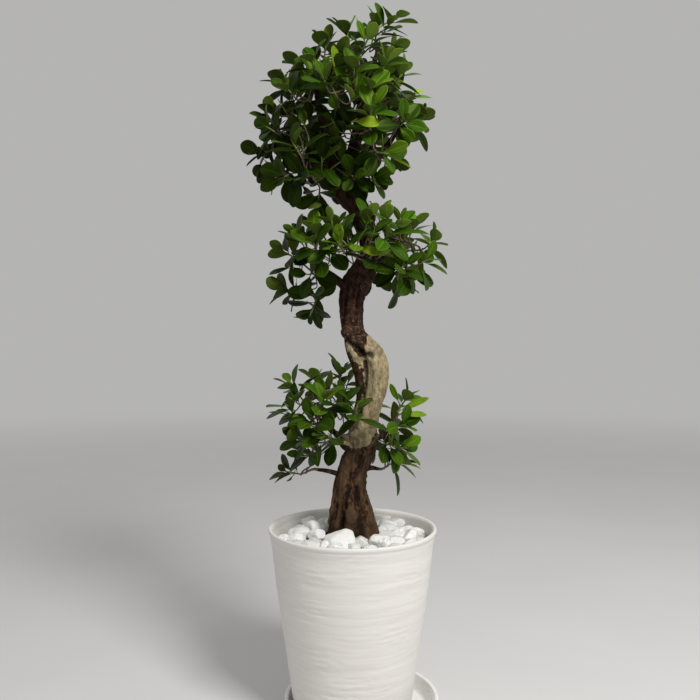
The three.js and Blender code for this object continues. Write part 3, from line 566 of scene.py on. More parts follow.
# A leaf with the three sheets, at and beside its face, that must cross no other leaf's
def leaf_shape(leaf):
    faces, starts, ends = [], [], []
    for lift in (0, LEAF_CLEARANCE, -LEAF_CLEARANCE - 0.5 * LEAF_THICKNESS):
        points = leaf_corners(leaf, lift)
        rim = points[:RIM_CORNERS]
        after = np.roll(rim, -1, axis=0)
        rib = np.repeat(points[RIB:], RIM_CORNERS, axis=0)
        faces.append(np.stack([rib, rim, after], axis=1))
        starts.append(np.concatenate([rib, rim]))
        ends.append(np.concatenate([rim, after]))
    points = leaf_corners(leaf)
    middle = points[RIB]
    reach = float(np.max(np.linalg.norm(points - middle, axis=1)))
    return {"leaf": leaf, "faces": np.array(faces), "starts": np.array(starts), "ends": np.array(ends),
            "middle": middle, "reach": reach}


# Whether any of the edges passes through any of the triangles
def any_crossing(starts, ends, faces):
    starts, ends = starts.reshape(-1, 1, 3), ends.reshape(-1, 1, 3)
    faces = faces.reshape(1, -1, 3, 3)
    corner = faces[:, :, 0]
    edge1, edge2 = faces[:, :, 1] - corner, faces[:, :, 2] - corner
    ray = ends - starts
    cross = np.cross(ray, edge2)
    det = dots(edge1, cross)
    hit = np.abs(det) >= NEARLY_ZERO
    safe = np.where(hit, det, 1)
    offset = starts - corner
    u = dots(offset, cross) / safe
    lean = np.cross(offset, edge1)
    v = dots(ray, lean) / safe
    along = dots(edge2, lean) / safe
    return bool(np.any(hit & (u >= 0) & (v >= 0) & (u <= 1) & (u + v <= 1) & (along >= 0) & (along <= 1)))


class PlacedLeaves:
    """All leaves that have their place, which later ones must not cross."""

    def __init__(self):
        self.shapes = []
        self.middles = np.zeros((0, 3))
        self.reaches = np.zeros(0)

    def add(self, shape):
        self.shapes.append(shape)
        self.middles = np.vstack([self.middles, shape["middle"]])
        self.reaches = np.append(self.reaches, shape["reach"])

    def meets(self, shape):
        gaps = np.linalg.norm(self.middles - shape["middle"], axis=1)
        near = np.flatnonzero(gaps <= self.reaches + shape["reach"] + LEAF_SEARCH_ROOM)
        if not len(near):
            return False
        others = [self.shapes[index] for index in near]
        faces = np.array([other["faces"] for other in others])
        starts = np.array([other["starts"] for other in others])
        ends = np.array([other["ends"] for other in others])
        return (any_crossing(shape["starts"], shape["ends"], faces[:, 0])
                or any_crossing(starts[:, 0], ends[:, 0], shape["faces"])
                or any_crossing(starts[:, 1:], ends[:, 1:], shape["faces"][0])
                or any_crossing(shape["starts"][0], shape["ends"][0], faces[:, 1:]))


def leaf_meets_bars(shape, starts, ends, radii):
    room = radii + LEAF_CLEARANCE
    point = np.broadcast_to(shape["middle"], starts.shape)
    near = bar_distances(starts, ends, point, point + UP * POINT_LENGTH) <= shape["reach"] + room
    if not near.any():
        return False
    starts, ends, room = starts[near], ends[near], room[near]
    if any_crossing(starts, ends, shape["faces"][0]):
        return True
    gaps = bar_distances(shape["starts"][0][:, None], shape["ends"][0][:, None], starts[None], ends[None])
    return bool(np.any(gaps < room[None]))


# Sets a leaf on its shoot unless it meets another leaf or other wood, and says whether it is set
def set_leaf(leaf, shoot, placed, others):
    shape = leaf_shape(leaf)
    if placed.meets(shape) or leaf_meets_bars(shape, *others):
        return False
    placed.add(shape)
    shoot["shapes"].append(shape)
    return True


def plan_leaves(plans, bars):
    placed = PlacedLeaves()
    for plan in plans:
        for shoot_index, shoot in enumerate(plan["shoots"]):
            seed = seed_of(LEAF_SEEDS, plan["index"], shoot_index)
            others = bars.arrays(lambda _, owner: owner != id(shoot))
            for index in range(shoot["leaves"]):
                for attempt in range(LEAF_ATTEMPTS):
                    if set_leaf(plan_leaf(shoot, seed, index, attempt), shoot, placed, others):
                        break
    return placed


# Meshes

LEAF_COLUMNS = 7
# Outline of a blade: how far along each row lies, and its width as a share of the widest
LEAF_OUTLINE = [
    (0.0, 0.08), (0.1, 0.075), (0.17, 0.2), (0.27, 0.5), (0.39, 0.8), (0.52, 0.97), (0.66, 1.0),
    (0.78, 0.91), (0.88, 0.69), (0.955, 0.4), (1.0, 0.06),
]
LEAF_ROWS = len(LEAF_OUTLINE)
ROW_SHARES, ROW_WIDTHS = (np.array(values)[:, None] for values in zip(*LEAF_OUTLINE))
LEAF_SKIN = 0.32
RIB_SKIN = 0.45
RIB_WIDTH = 0.8
RIB_SUNK = 0.1
RIB_FADING = 0.7
FOLD_SOFTNESS = 1.1
BLADE_TWIST = 16
BLADE_SWEEP = 0.05
EDGE_WAVE = (0.25, 0.35)
EDGE_WAVES = 9
EDGE_CURL = 0.035
ANY_TURN = 6.3


def grid_faces(rows, columns):
    row, column = np.meshgrid(np.arange(rows - 1), np.arange(columns - 1), indexing="ij")
    first = (row * columns + column).ravel()
    return np.stack([first, first + columns, first + columns + 1, first + 1], axis=1)


# Faces of a thin closed blade: the upper grid, the lower grid and the strip round their edge
def blade_faces():
    rows, columns = LEAF_ROWS, LEAF_COLUMNS
    upper = grid_faces(rows, columns)
    lower = upper[:, ::-1] + rows * columns
    edge = [row * columns for row in range(rows)]
    edge += [(rows - 1) * columns + column for column in range(1, columns)]
    edge += [row * columns + columns - 1 for row in range(rows - 2, -1, -1)]
    edge += [column for column in range(columns - 2, 0, -1)]
    edge = np.array(edge)
    after = np.roll(edge, -1)
    strip = np.stack([after, edge, edge + rows * columns, after + rows * columns], axis=1)
    return np.concatenate([upper, lower, strip])


BLADE_FACES = blade_faces()


# One leaf: its points, and for each of them how far along and across the blade it is
def blade(leaf):
    draw = random_from(leaf["seed"] + BLADE_SEED)
    twist = math.radians(wander(draw, BLADE_TWIST))
    sweep = wander(draw, BLADE_SWEEP)
    wave, phase = drawn(draw, EDGE_WAVE), ANY_TURN * draw()
    share = ROW_SHARES
    across_share = np.linspace(-1, 1, LEAF_COLUMNS)[None, :]
    across = 0.5 * leaf["width"] * ROW_WIDTHS * across_share
    length = leaf["length"]
    folded = np.sqrt(across ** 2 + FOLD_SOFTNESS ** 2) - FOLD_SOFTNESS
    rise = folded * leaf["fold"] - leaf["droop"] * length * share ** 2
    rise = rise + wave * np.sin(EDGE_WAVES * share + phase) * across_share ** 2 * ROW_WIDTHS
    rise = rise - EDGE_CURL * leaf["width"] * across_share ** 4 * ROW_WIDTHS
    rib = np.exp(-((across / RIB_WIDTH) ** 2)) * (1 - RIB_FADING * share)
    sideways = np.cross(leaf["normal"], leaf["direction"])
    cos, sin = np.cos(twist * share), np.sin(twist * share)
    row_side = sideways * cos[..., None] + leaf["normal"] * sin[..., None]
    row_up = leaf["normal"] * cos[..., None] - sideways * sin[..., None]
    middle = (leaf["base"] + leaf["direction"] * (share * length)[..., None]
              + sideways * (sweep * length * share ** 2)[..., None])

    def sheet(lift, is_top):
        points = middle + row_side * across[..., None] + row_up * (rise + lift)[..., None]
        place = np.stack(np.broadcast_arrays(share, across_share, float(is_top)), axis=-1)
        return points.reshape(-1, 3), place.reshape(-1, 3)

    sheets = sheet(-RIB_SUNK * rib, True), sheet(-LEAF_SKIN - RIB_SKIN * rib, False)
    return tuple(np.concatenate(rows) for rows in zip(*sheets))


# Rings round a row of (middle, heading, radius), with a function that gives each ring's own outline
def rings_along(line, sides, outline=None):
    across = first_across(line[0][1])
    angles = np.arange(sides) / sides * 2 * math.pi
    cos, sin = np.cos(angles), np.sin(angles)
    rings = []
    for middle, heading, radius in line:
        across = square_to(heading, across)
        other = np.cross(heading, across)
        reach = radius * (outline(angles, middle[2]) if outline else np.ones(sides))
        rings.append(middle + across * (reach * cos)[:, None] + other * (reach * sin)[:, None])
    return rings


# Faces of a tube with so many rings, closed by a fan of triangles at both ends
def tube_faces(rings, sides):
    faces = []
    for ring in range(rings - 1):
        low = ring * sides
        for side in range(sides):
            after = (side + 1) % sides
            faces.append((low + side, low + after, low + sides + after, low + sides + side))
    top = (rings - 1) * sides
    faces.append(tuple(range(sides - 1, -1, -1)))
    faces.append(tuple(range(top, top + sides)))
    return faces


class Stack:
    """Points and faces gathered from many shapes, with named values for each point."""

    def __init__(self, names=()):
        self.points, self.faces, self.slots = [], [], []
        self.values = {name: [] for name in names}
        self.count = 0

    def add(self, points, faces, slot=0, **values):
        points = np.asarray(points, dtype=float)
        self.points.append(points)
        self.faces.extend([tuple(int(corner) + self.count for corner in face) for face in faces])
        self.slots.extend([slot] * len(faces))
        for name, rows in self.values.items():
            given = np.asarray(values.get(name, (0, 0, 0)), dtype=float)
            rows.append(np.broadcast_to(given, (len(points), 3)))
        self.count += len(points)

    def mesh(self, name, materials):
        made = bpy.data.meshes.new(name)
        made.from_pydata((np.concatenate(self.points) * MM).tolist(), [], self.faces)
        for material in materials:
            made.materials.append(material)
        made.polygons.foreach_set("material_index", self.slots)
        made.polygons.foreach_set("use_smooth", [True] * len(self.faces))
        for value_name, rows in self.values.items():
            attribute = made.attributes.new(value_name, "FLOAT_VECTOR", "POINT")
            attribute.data.foreach_set("vector", np.concatenate(rows).ravel())
        made.update()
        return made


# Puts a piece in the place of a node of the frame
def place_piece(name, mesh, node):
    piece = bpy.data.objects.new(name, mesh)
    bpy.context.collection.objects.link(piece)
    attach(piece, "root")
    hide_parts(node)


# Smooth noise from -1 to 1 at many points, whose size is given in millimetres for each direction
def noise_at(points, size, shift=0.0):
    scaled = np.asarray(points) / np.asarray(size, dtype=float) + shift
    return np.array([noise.noise(point) for point in scaled.tolist()])


# Materials

FLOOR_SIZE = 60.0
FLOOR_FADE = (1.2, 6.0)
STUDIO_GREY = (0.5, 0.496, 0.492)
STUDIO_STRENGTH = 0.92


class Look:
    """A material's nodes, made one by one and joined by their sockets' names."""

    def __init__(self, name, roughness=0.5, specular=0.5):
        self.material = bpy.data.materials.new(name)
        self.material.use_nodes = True
        self.tree = self.material.node_tree
        self.shader = self.tree.nodes["Principled BSDF"]
        self.shader.inputs["Roughness"].default_value = roughness
        self.shader.inputs["Specular IOR Level"].default_value = specular

    def node(self, kind, settings=None, **inputs):
        made = self.tree.nodes.new(kind)
        for name, value in (settings or {}).items():
            setattr(made, name, value)
        for name, value in inputs.items():
            self.feed(made.inputs[name.replace("_", " ")], value)
        return made

    def feed(self, socket, value):
        if isinstance(value, bpy.types.NodeSocket):
            self.tree.links.new(value, socket)
        else:
            socket.default_value = value

    def attribute(self, name):
        split = self.node("ShaderNodeSeparateXYZ")
        source = self.node("ShaderNodeAttribute", {"attribute_name": name})
        self.tree.links.new(source.outputs["Vector"], split.inputs[0])
        return split.outputs["X"], split.outputs["Y"], split.outputs["Z"]

    def place(self, scale=(1, 1, 1)):
        where = self.node("ShaderNodeTexCoord").outputs["Object"]
        mapping = self.node("ShaderNodeMapping", Vector=where, Scale=scale)
        return mapping.outputs["Vector"]

    def noise(self, scale, detail=4.0, stretch=(1, 1, 1), roughness=0.55, distortion=0.0):
        return self.node("ShaderNodeTexNoise", Vector=self.place(stretch), Scale=scale, Detail=detail,
                         Roughness=roughness, Distortion=distortion).outputs["Fac"]

    def math(self, operation, first, second=0.0, clamp=False):
        made = self.node("ShaderNodeMath", {"operation": operation, "use_clamp": clamp})
        self.feed(made.inputs[0], first)
        self.feed(made.inputs[1], second)
        return made.outputs[0]

    def times(self, first, second):
        return self.math("MULTIPLY", first, second)

    def plus(self, first, second):
        return self.math("ADD", first, second)

    def minus(self, first, second):
        return self.math("SUBTRACT", first, second)

    def size_of(self, value):
        return self.math("ABSOLUTE", value)

    def between(self, value, low, high, to_low=0.0, to_high=1.0):
        made = self.node("ShaderNodeMapRange", {"interpolation_type": "SMOOTHSTEP"})
        for name, given in (("Value", value), ("From Min", low), ("From Max", high),
                            ("To Min", to_low), ("To Max", to_high)):
            self.feed(made.inputs[name], given)
        return made.outputs["Result"]

    def ramp(self, value, *stops):
        made = self.node("ShaderNodeValToRGB", Fac=value)
        stretch = made.color_ramp.elements
        while len(stretch) < len(stops):
            stretch.new(1.0)
        for element, (position, colour) in zip(stretch, stops):
            element.position = position
            element.color = (*colour, 1)
        return made.outputs["Color"]

    def mix(self, share, first, second):
        made = self.node("ShaderNodeMix", {"data_type": "RGBA"})
        self.feed(made.inputs[0], share)
        for socket, colour in ((made.inputs[6], first), (made.inputs[7], second)):
            self.feed(socket, (*colour, 1) if isinstance(colour, tuple) else colour)
        return made.outputs[2]

    def bump(self, height, distance, strength=1.0, under=None):
        made = self.node("ShaderNodeBump", Height=height, Distance=distance, Strength=strength)
        if under:
            self.tree.links.new(under, made.inputs["Normal"])
        return made.outputs["Normal"]

    def finish(self, colour, roughness=None, normal=None):
        self.feed(self.shader.inputs["Base Color"], colour)
        if roughness is not None:
            self.feed(self.shader.inputs["Roughness"], roughness)
        if normal is not None:
            self.feed(self.shader.inputs["Normal"], normal)
        return self.material


# Colours. A ramp has the value of its texture and the colour at each stop.
LEAF_SHEEN = (0.7, 1.0, 0.2, 1)
LEAF_GREEN = ((0.0, (0.007, 0.026, 0.001)), (0.35, (0.021, 0.056, 0.002)),
              (0.65, (0.05, 0.102, 0.004)), (1.0, (0.19, 0.27, 0.012)))
LEAF_PALE = ((0.0, (0.06, 0.12, 0.012)), (1.0, (0.24, 0.34, 0.03)))
LEAF_BELOW = ((0.0, (0.035, 0.07, 0.008)), (1.0, (0.15, 0.22, 0.03)))
RIB_BELOW = (0.17, 0.23, 0.06)
TWIG_WOOD = ((0.3, (0.075, 0.05, 0.032)), (0.55, (0.16, 0.12, 0.08)), (0.75, (0.3, 0.25, 0.18)))
TWIG_GREEN = ((0.3, (0.1, 0.15, 0.03)), (0.7, (0.22, 0.28, 0.07)))
# The dark foot and dark top ramps are partly the bark's own colour and partly painted shade, the khaki ramp
# partly painted light on the lit bend
BARK_FOOT = ((0.3, (0.006, 0.003, 0.002)), (0.46, (0.019, 0.0095, 0.0055)),
             (0.6, (0.055, 0.03, 0.016)), (0.74, (0.15, 0.095, 0.052)))
BARK_ABOVE = ((0.3, (0.006, 0.0025, 0.0018)), (0.46, (0.016, 0.0065, 0.0045)),
              (0.6, (0.048, 0.022, 0.014)), (0.74, (0.15, 0.085, 0.055)))
BARK_KHAKI = ((0.28, (0.055, 0.036, 0.018)), (0.42, (0.21, 0.165, 0.09)),
              (0.58, (0.36, 0.3, 0.175)), (0.76, (0.6, 0.53, 0.36)))
BARK_OCHRE = (0.125, 0.072, 0.03)
KHAKI_STAIN = (0.085, 0.056, 0.03)
KHAKI_PATCH = (0.12, 0.092, 0.045)
# Painted shade for the sunk grooves, scars and cracks of the bark
PAINTED_GROOVE_SHADE = (0.008, 0.005, 0.0035)
WORN_FOOT = (0.13, 0.08, 0.042)
WORN_ABOVE = (0.12, 0.064, 0.042)
WORN_KHAKI = (0.42, 0.36, 0.23)
BARK_DOT = (0.045, 0.03, 0.018)
BARK_FLECK = (0.36, 0.29, 0.17)
POT_WHITE = ((0.3, (0.7, 0.685, 0.65)), (0.55, (0.745, 0.73, 0.695)), (0.8, (0.785, 0.77, 0.735)))
POT_CLOUD = (0.7, 0.655, 0.6)
SAUCER_WHITE = ((0.3, (0.82, 0.815, 0.795)), (0.7, (0.87, 0.865, 0.85)))
STONE_WHITE = ((0.0, (0.64, 0.645, 0.62)), (0.5, (0.76, 0.76, 0.74)), (1.0, (0.84, 0.835, 0.82)))
STONE_VEIN = (0.42, 0.44, 0.4)
STONE_DUST = (0.58, 0.56, 0.5)
SOIL_BROWN = ((0.25, (0.014, 0.009, 0.006)), (0.55, (0.045, 0.029, 0.018)), (0.8, (0.13, 0.09, 0.055)))
FLOOR_PALE = ((0.3, (0.665, 0.66, 0.655)), (0.7, (0.69, 0.685, 0.68)))
NO_COLOUR = (0.0, 0.0, 0.0)


# A thick waxy leaf: pale midrib and faint side veins, dull and paler below, with a paler rim painted as a
# highlight along its edge. It gets painted shade where it stands deep in its head or on the side away from
# the lamp, and painted light where it stands out on the lamp's side.
def leaf_material():
    look = Look("ficus_leaf", specular=0.16)
    look.shader.inputs["Specular Tint"].default_value = LEAF_SHEEN
    along, across, top = look.attribute("leaf_place")
    tone, chance, painted_light = look.attribute("leaf_look")
    mottle = look.noise(90.0, 3.0)
    shade = look.math("ADD", tone, look.times(look.minus(mottle, 0.5), 0.25), clamp=True)
    off_middle = look.size_of(across)
    rib = look.between(off_middle, look.minus(0.1, look.times(along, 0.07)), 0.012)
    slant = look.minus(along, look.times(off_middle, 0.24))
    vein_phase = look.math("PINGPONG", look.times(slant, 13.0), 0.5)
    veins = look.times(look.between(vein_phase, 0.09, 0.0), 0.25)
    pale = look.ramp(tone, *LEAF_PALE)
    upper = look.mix(look.math("MAXIMUM", look.times(rib, 0.7), veins), look.ramp(shade, *LEAF_GREEN), pale)
    # A paler rim round the blade, painted as the highlight along the leaf's edge
    upper = look.mix(look.between(off_middle, 0.9, 1.0, 0.0, 0.45), upper, pale)
    under = look.mix(look.times(rib, 0.6), look.ramp(tone, *LEAF_BELOW), RIB_BELOW)
    by_chance = look.between(chance, 0.0, 1.0, 0.66, 1.34)
    # Painted light and shade, by how far out and towards the lamp the leaf stands in its head
    by_painted_light = look.between(painted_light, 0.2, 0.92, 0.3, 1.5)
    tint = look.node("ShaderNodeHueSaturation", Value=look.times(by_chance, by_painted_light),
                     Color=look.mix(top, under, upper)).outputs["Color"]
    rough = look.plus(look.between(top, 0.0, 1.0, 0.6, 0.34), look.times(mottle, 0.1))
    relief = look.minus(look.times(look.noise(420.0, 2.0), 0.35), look.plus(rib, veins))
    return look.finish(tint, rough, look.bump(relief, 0.00022, 0.55))


# Young wood: grey-brown and grained near its root, green at the tip
def twig_material():
    look = Look("ficus_twig", roughness=0.6, specular=0.35)
    age, _, _ = look.attribute("leaf_look")
    grain = look.noise(260.0, 5.0, (1, 1, 0.35))
    colour = look.mix(age, look.ramp(grain, *TWIG_WOOD), look.ramp(grain, *TWIG_GREEN))
    return look.finish(colour, look.between(grain, 0.2, 0.8, 0.5, 0.75), look.bump(grain, 0.0004, 0.6))


# Bark: dark brown and furrowed at the foot, khaki and scaly on the bend, dark red-brown above. The dark foot
# and top are partly the bark's own colour and partly painted shade, the khaki bend partly its own colour and
# partly painted light, and its sunk grooves get painted shade.
def bark_material():
    look = Look("ficus_bark", roughness=0.8, specular=0.1)
    relief, fleck, _ = look.attribute("bark_look")
    khaki, above, ochre = look.attribute("bark_tint")
    broad = look.noise(26.0, 4.0, (1, 1, 0.5), distortion=0.4)
    fine = look.noise(210.0, 7.0, (1, 1, 0.5), roughness=0.72)
    patches = look.noise(78.0, 6.0, (1, 1, 0.6), distortion=0.8)
    dots = look.node("ShaderNodeTexVoronoi", Vector=look.place((1, 1, 0.55)), Scale=330.0).outputs["Distance"]
    # The dark foot and the dark bark above the bend, partly the bark's own colour and partly painted shade
    dark = look.mix(above, look.ramp(fine, *BARK_FOOT), look.ramp(fine, *BARK_ABOVE))
    dark = look.mix(look.times(ochre, look.between(fine, 0.42, 0.66, 0.0, 0.7)), dark, BARK_OCHRE)
    bend = look.mix(look.between(broad, 0.45, 0.66, 0.0, 0.6), look.ramp(fine, *BARK_KHAKI), KHAKI_STAIN)
    bend = look.mix(look.between(patches, 0.52, 0.62, 0.0, 0.6), bend, KHAKI_PATCH)
    ragged = look.plus(khaki, look.times(look.minus(fine, 0.5), 1.3))
    # The khaki bend, partly the bark's own colour and partly painted light
    colour = look.mix(look.between(ragged, 0.35, 0.65), dark, bend)
    # Painted shade, darker the deeper the bark sinks
    colour = look.mix(look.between(relief, 0.0, -1.0, 0.0, 0.8), colour, PAINTED_GROOVE_SHADE)
    worn = look.mix(khaki, look.mix(above, WORN_FOOT, WORN_ABOVE), WORN_KHAKI)
    colour = look.mix(look.between(relief, 0.15, 1.0, 0.0, 0.4), colour, worn)
    colour = look.mix(look.times(look.between(dots, 0.18, 0.05), 0.7), colour, BARK_DOT)
    colour = look.mix(fleck, colour, BARK_FLECK)
    height = look.plus(look.times(fine, 0.9), look.times(broad, 0.4))
    return look.finish(colour, look.between(fine, 0.2, 0.8, 0.7, 0.95), look.bump(height, 0.002, 0.9))


# Brushed white resin, a little uneven in colour along the strokes
def pot_material():
    look = Look("white_resin", roughness=0.5, specular=0.4)
    strokes = look.noise(9.0, 6.0, (1, 1, 26))
    cloud = look.between(look.noise(14.0, 3.0), 0.4, 0.75, 0.0, 0.25)
    colour = look.mix(cloud, look.ramp(strokes, *POT_WHITE), POT_CLOUD)
    brushed = look.bump(look.noise(30.0, 4.0, (1, 1, 34)), 0.0006, 0.35)
    grit = look.bump(look.noise(900.0, 2.0), 0.0001, 0.3, brushed)
    return look.finish(colour, look.between(strokes, 0.25, 0.75, 0.42, 0.62), grit)


# Glossy white with faint clouds and dull scuffs
def saucer_material():
    look = Look("white_saucer", roughness=0.28, specular=0.5)
    cloud = look.noise(18.0, 4.0)
    scuffs = look.noise(60.0, 5.0, (1, 1, 5))
    return look.finish(look.ramp(cloud, *SAUCER_WHITE), look.between(scuffs, 0.3, 0.8, 0.22, 0.4),
                       look.bump(cloud, 0.0005, 0.2))


# Tumbled white marble with faint grey-green veins, each stone with its own
def pebble_material():
    look = Look("white_marble", roughness=0.5, specular=0.4)
    chance, shift, _ = look.attribute("stone_look")
    where = look.node("ShaderNodeVectorMath", {"operation": "ADD"})
    look.tree.links.new(look.place((1, 1, 1.4)), where.inputs[0])
    spread = look.node("ShaderNodeCombineXYZ", X=look.times(shift, 3.0), Y=chance, Z=shift)
    look.tree.links.new(spread.outputs[0], where.inputs[1])
    cloud = look.node("ShaderNodeTexNoise", Vector=where.outputs[0], Scale=55.0, Detail=5.0, Distortion=1.3)
    line = look.size_of(look.minus(cloud.outputs["Fac"], 0.5))
    veins = look.times(look.between(line, 0.06, 0.0), look.between(chance, 0.2, 0.9, 0.1, 0.6))
    dust = look.noise(520.0, 3.0)
    colour = look.mix(veins, look.ramp(chance, *STONE_WHITE), STONE_VEIN)
    colour = look.mix(look.between(dust, 0.55, 0.8, 0.0, 0.14), colour, STONE_DUST)
    return look.finish(colour, look.between(dust, 0.3, 0.7, 0.42, 0.62), look.bump(dust, 0.00035, 0.5))


# Dark crumbly soil
def soil_material():
    look = Look("bark_soil", roughness=0.95, specular=0.15)
    crumbs = look.node("ShaderNodeTexVoronoi", Vector=look.place(), Scale=330.0)
    grain = look.noise(240.0, 6.0)
    return look.finish(look.ramp(grain, *SOIL_BROWN), look.between(grain, 0.2, 0.8, 0.85, 1.0),
                       look.bump(crumbs.outputs["Distance"], 0.002))


# A pale floor that runs into the background a few metres away
def floor_material():
    look = Look("pale_floor", roughness=0.9, specular=0.0)
    near = look.ramp(look.noise(2.5, 3.0), *FLOOR_PALE)
    distance = look.node("ShaderNodeVectorMath", {"operation": "LENGTH"})
    look.tree.links.new(look.place(), distance.inputs[0])
    far = look.between(distance.outputs["Value"], *FLOOR_FADE)
    look.shader.inputs["Emission Color"].default_value = (*STUDIO_GREY, 1)
    look.feed(look.shader.inputs["Emission Strength"], look.times(far, STUDIO_STRENGTH))
    return look.finish(look.mix(far, near, NO_COLOUR))


# Sprays of leaves

# How light the leaves of each head are, and by how much they vary
LEAF_TONES = {"crown": (0.4, 0.36), "middle": (0.42, 0.36), "lower": (0.38, 0.34)}
TONE_BY_AGE = 0.22
MIDDLE_AGE = 0.45
BRIGHT_LEAF = {"above": 0.93, "lighter": 0.3}
# How far out and towards the lamp a leaf stands in its head, which the leaf material turns into painted light
# and shade
HEAD_REACH = {"crown": 150, "middle": 115, "lower": 110}
PAINTED_LIGHT = {"least": 0.03, "outward": 0.53, "to_sun": 0.42}
SUN_SIDE = unit(np.array([0.6, -0.42, 0.7]))

TWIG_SIDES = 7
TWIG_SLIMMER = 0.78
TWIG_ROOT_WIDER = 1.25
TWIG_ROOT_SUNK = 2.2
TWIG_AGES = (-0.35, 1.0)
LIMB_END_SHARE = 0.78
BARE_RINGS = 9
# Widths between and at the leaves, and the bud: how far along each ring is and its radius
SWELLINGS = (0.95, 1.15)
BUD_LONGER = 2
BUD_RINGS = [(0.25, 0.95), (0.5, 0.8), (0.75, 0.5), (0.95, 0.2), (1.0, 0.06)]

# Leaves that scene.py adds, young ones at the tip of a shoot and old ones down its twig
YOUNG_LEAVES = 2
YOUNG_LEAF = {"length": (17, 12), "opening": (18, 20), "first": 0.5, "apart": 1.5}
OLD_LEAVES = 4
OLD_LEAF = {"at": (0.4, 0.55), "length": (30, 12), "opening": (55, 35)}
EXTRA_LEAF_SHAPE = {"width": (0.5, 0.08), "fold": (12, 14), "droop": (0.05, 0.14)}
EXTRA_ATTEMPTS = 4
EXTRA_TURN = 2.4
EXTRA_LEAN = 0.01
EXTRA_TILT = 0.15
EXTRA_TILT_MIDDLE = 0.45
EXTRA_ROLL = 40
EXTRA_TO_LIGHT = 0.6
ADDED_LEAF_TOP = 1082

# Inner twigs that fill the heads, and how many leave each shoot
INNER_TWIGS = 2
MORE_INNER_TWIGS = {"middle_spray_front": 5, "middle_spray_right": 3, "middle_spray_left": 3,
                    "crown_spray_top_right": 3}
INNER_RADII = (1.5, 1.2)
INNER_AT = (0.3, 0.55)
INNER_DEPTH = (0.42, 0.5)
INNER_SPREAD = 55
INNER_REACH = (16, 52)
INNER_LEAN = {"outward": 0.55, "up": 0.4, "run": 0.5, "wander": 0.5}
INNER_KEEPS = 0.6
INNER_LEAVES = (4, 3)
INNER_TIP = 12
LOWEST_INNER_END = {"crown": 815, "middle": 640, "lower": 405}
# Left, right, bottom and top of the stretches of trunk that nothing added hides from the front
OPEN_TRUNK = [(-32, 40, 372, 478), (-34, 48, 560, 686)]
FRONT_OF_TRUNK = 4

# Leafy twigs that fill chosen places: where each ends, the way it points and its number of leaves.
# One that finds no room is left out.
CHOSEN_TWIGS = [
    ((52, -16, 1056), (0.7, -0.3, 0.6), 6),
    ((46, -30, 1040), (0.3, -0.8, 0.5), 6),
    ((-75, -22, 723), (-0.6, -0.4, 0.5), 6),
    ((-51, -45, 727), (-0.3, -0.6, 0.7), 6),
    ((-33, -55, 708), (-0.2, -0.8, 0.4), 6),
    ((-15, -58, 724), (0.0, -0.7, 0.7), 6),
    ((4, -62, 710), (0.1, -0.8, 0.5), 6),
    ((-28, -48, 738), (-0.2, -0.4, 0.9), 6),
    ((18, -50, 742), (0.1, -0.4, 0.9), 6),
    ((46, -52, 724), (0.3, -0.8, 0.4), 6),
    ((-80, -10, 686), (-0.7, -0.3, 0.2), 5),
    ((-60, -45, 407), (-0.5, -0.6, 0.1), 6),
    ((-41, -55, 430), (-0.3, -0.8, 0.3), 6),
    ((-80, -20, 479), (-0.6, -0.3, 0.6), 5),
    ((-52, -50, 452), (-0.3, -0.7, 0.6), 6),
    ((-46, -40, 695), (-0.3, -0.8, 0.1), 6),
    ((-60, -30, 678), (-0.4, -0.7, -0.1), 5),
    ((-12, -18, 890), (0.0, -0.8, 0.4), 6),
    ((-40, -12, 880), (-0.3, -0.7, 0.4), 6),
    ((20, 8, 882), (0.2, -0.6, 0.6), 6),
    ((-62, -20, 860), (-0.4, -0.7, 0.3), 6),
    ((40, -20, 950), (0.2, -0.8, 0.5), 6),
    ((-20, -30, 930), (-0.1, -0.8, 0.5), 6),
]
# Single leaves that stand out: where each starts and ends, the way its face looks, its width over
# its length and its tone
CHOSEN_LEAVES = [
    ((49, -20, 861), (90, -24, 842), (0.2, -0.5, 0.9), 0.42, 0.85),
    ((-45, -38, 815), (-53, -42, 771), (-0.2, -1.0, 0.1), 0.5, 0.95),
    ((-1, -92, 888), (38, -100, 894), (0.1, -0.9, 0.5), 0.55, 0.9),
    ((70, -15, 468), (116, -20, 491), (-0.3, -0.8, 0.7), 0.27, 0.75),
    ((72, -20, 464), (112, -28, 467), (0.0, -0.7, 0.8), 0.27, 0.7),
    ((67, -18, 456), (101, -26, 437), (0.3, -0.8, 0.6), 0.3, 0.65),
    ((73, -12, 480), (53, -18, 508), (-0.5, -0.8, -0.2), 0.3, 0.6),
]
CHOSEN_ATTEMPTS = 12
# Starts that are tried: shares of each shoot, how many of the nearest, and every which of them
START_SHARES = np.linspace(0.3, 1, 8)
NEAREST_STARTS = 27
EVERY_START = 3
CHOSEN_TWIG = {"wander": 0.4, "keeps": 0.4, "end_pull": 0.7}
CHOSEN_LEAF = {"rise": 0.55, "wander": 0.08, "roll": 0.1, "age": 0.3, "fold": 14, "droop": 0.08}


# How far out in its head and towards the lamp a leaf is, from 0 to 1. The ones deep inside are old, and the
# leaf material paints them and those on the side away from the lamp darker as painted shade, and the outer
# ones on the lamp's side lighter as painted light.
def painted_leaf_light(head, leaf):
    middle = leaf["base"] + leaf["direction"] * 0.5 * leaf["length"]
    away = (middle - np.array(HEADS[head]["centre"])) / HEAD_REACH[head]
    painted_light = (PAINTED_LIGHT["least"] + PAINTED_LIGHT["outward"] * float(np.linalg.norm(away))
                + PAINTED_LIGHT["to_sun"] * float(away @ SUN_SIDE))
    return min(max(painted_light, 0.0), 1.0)


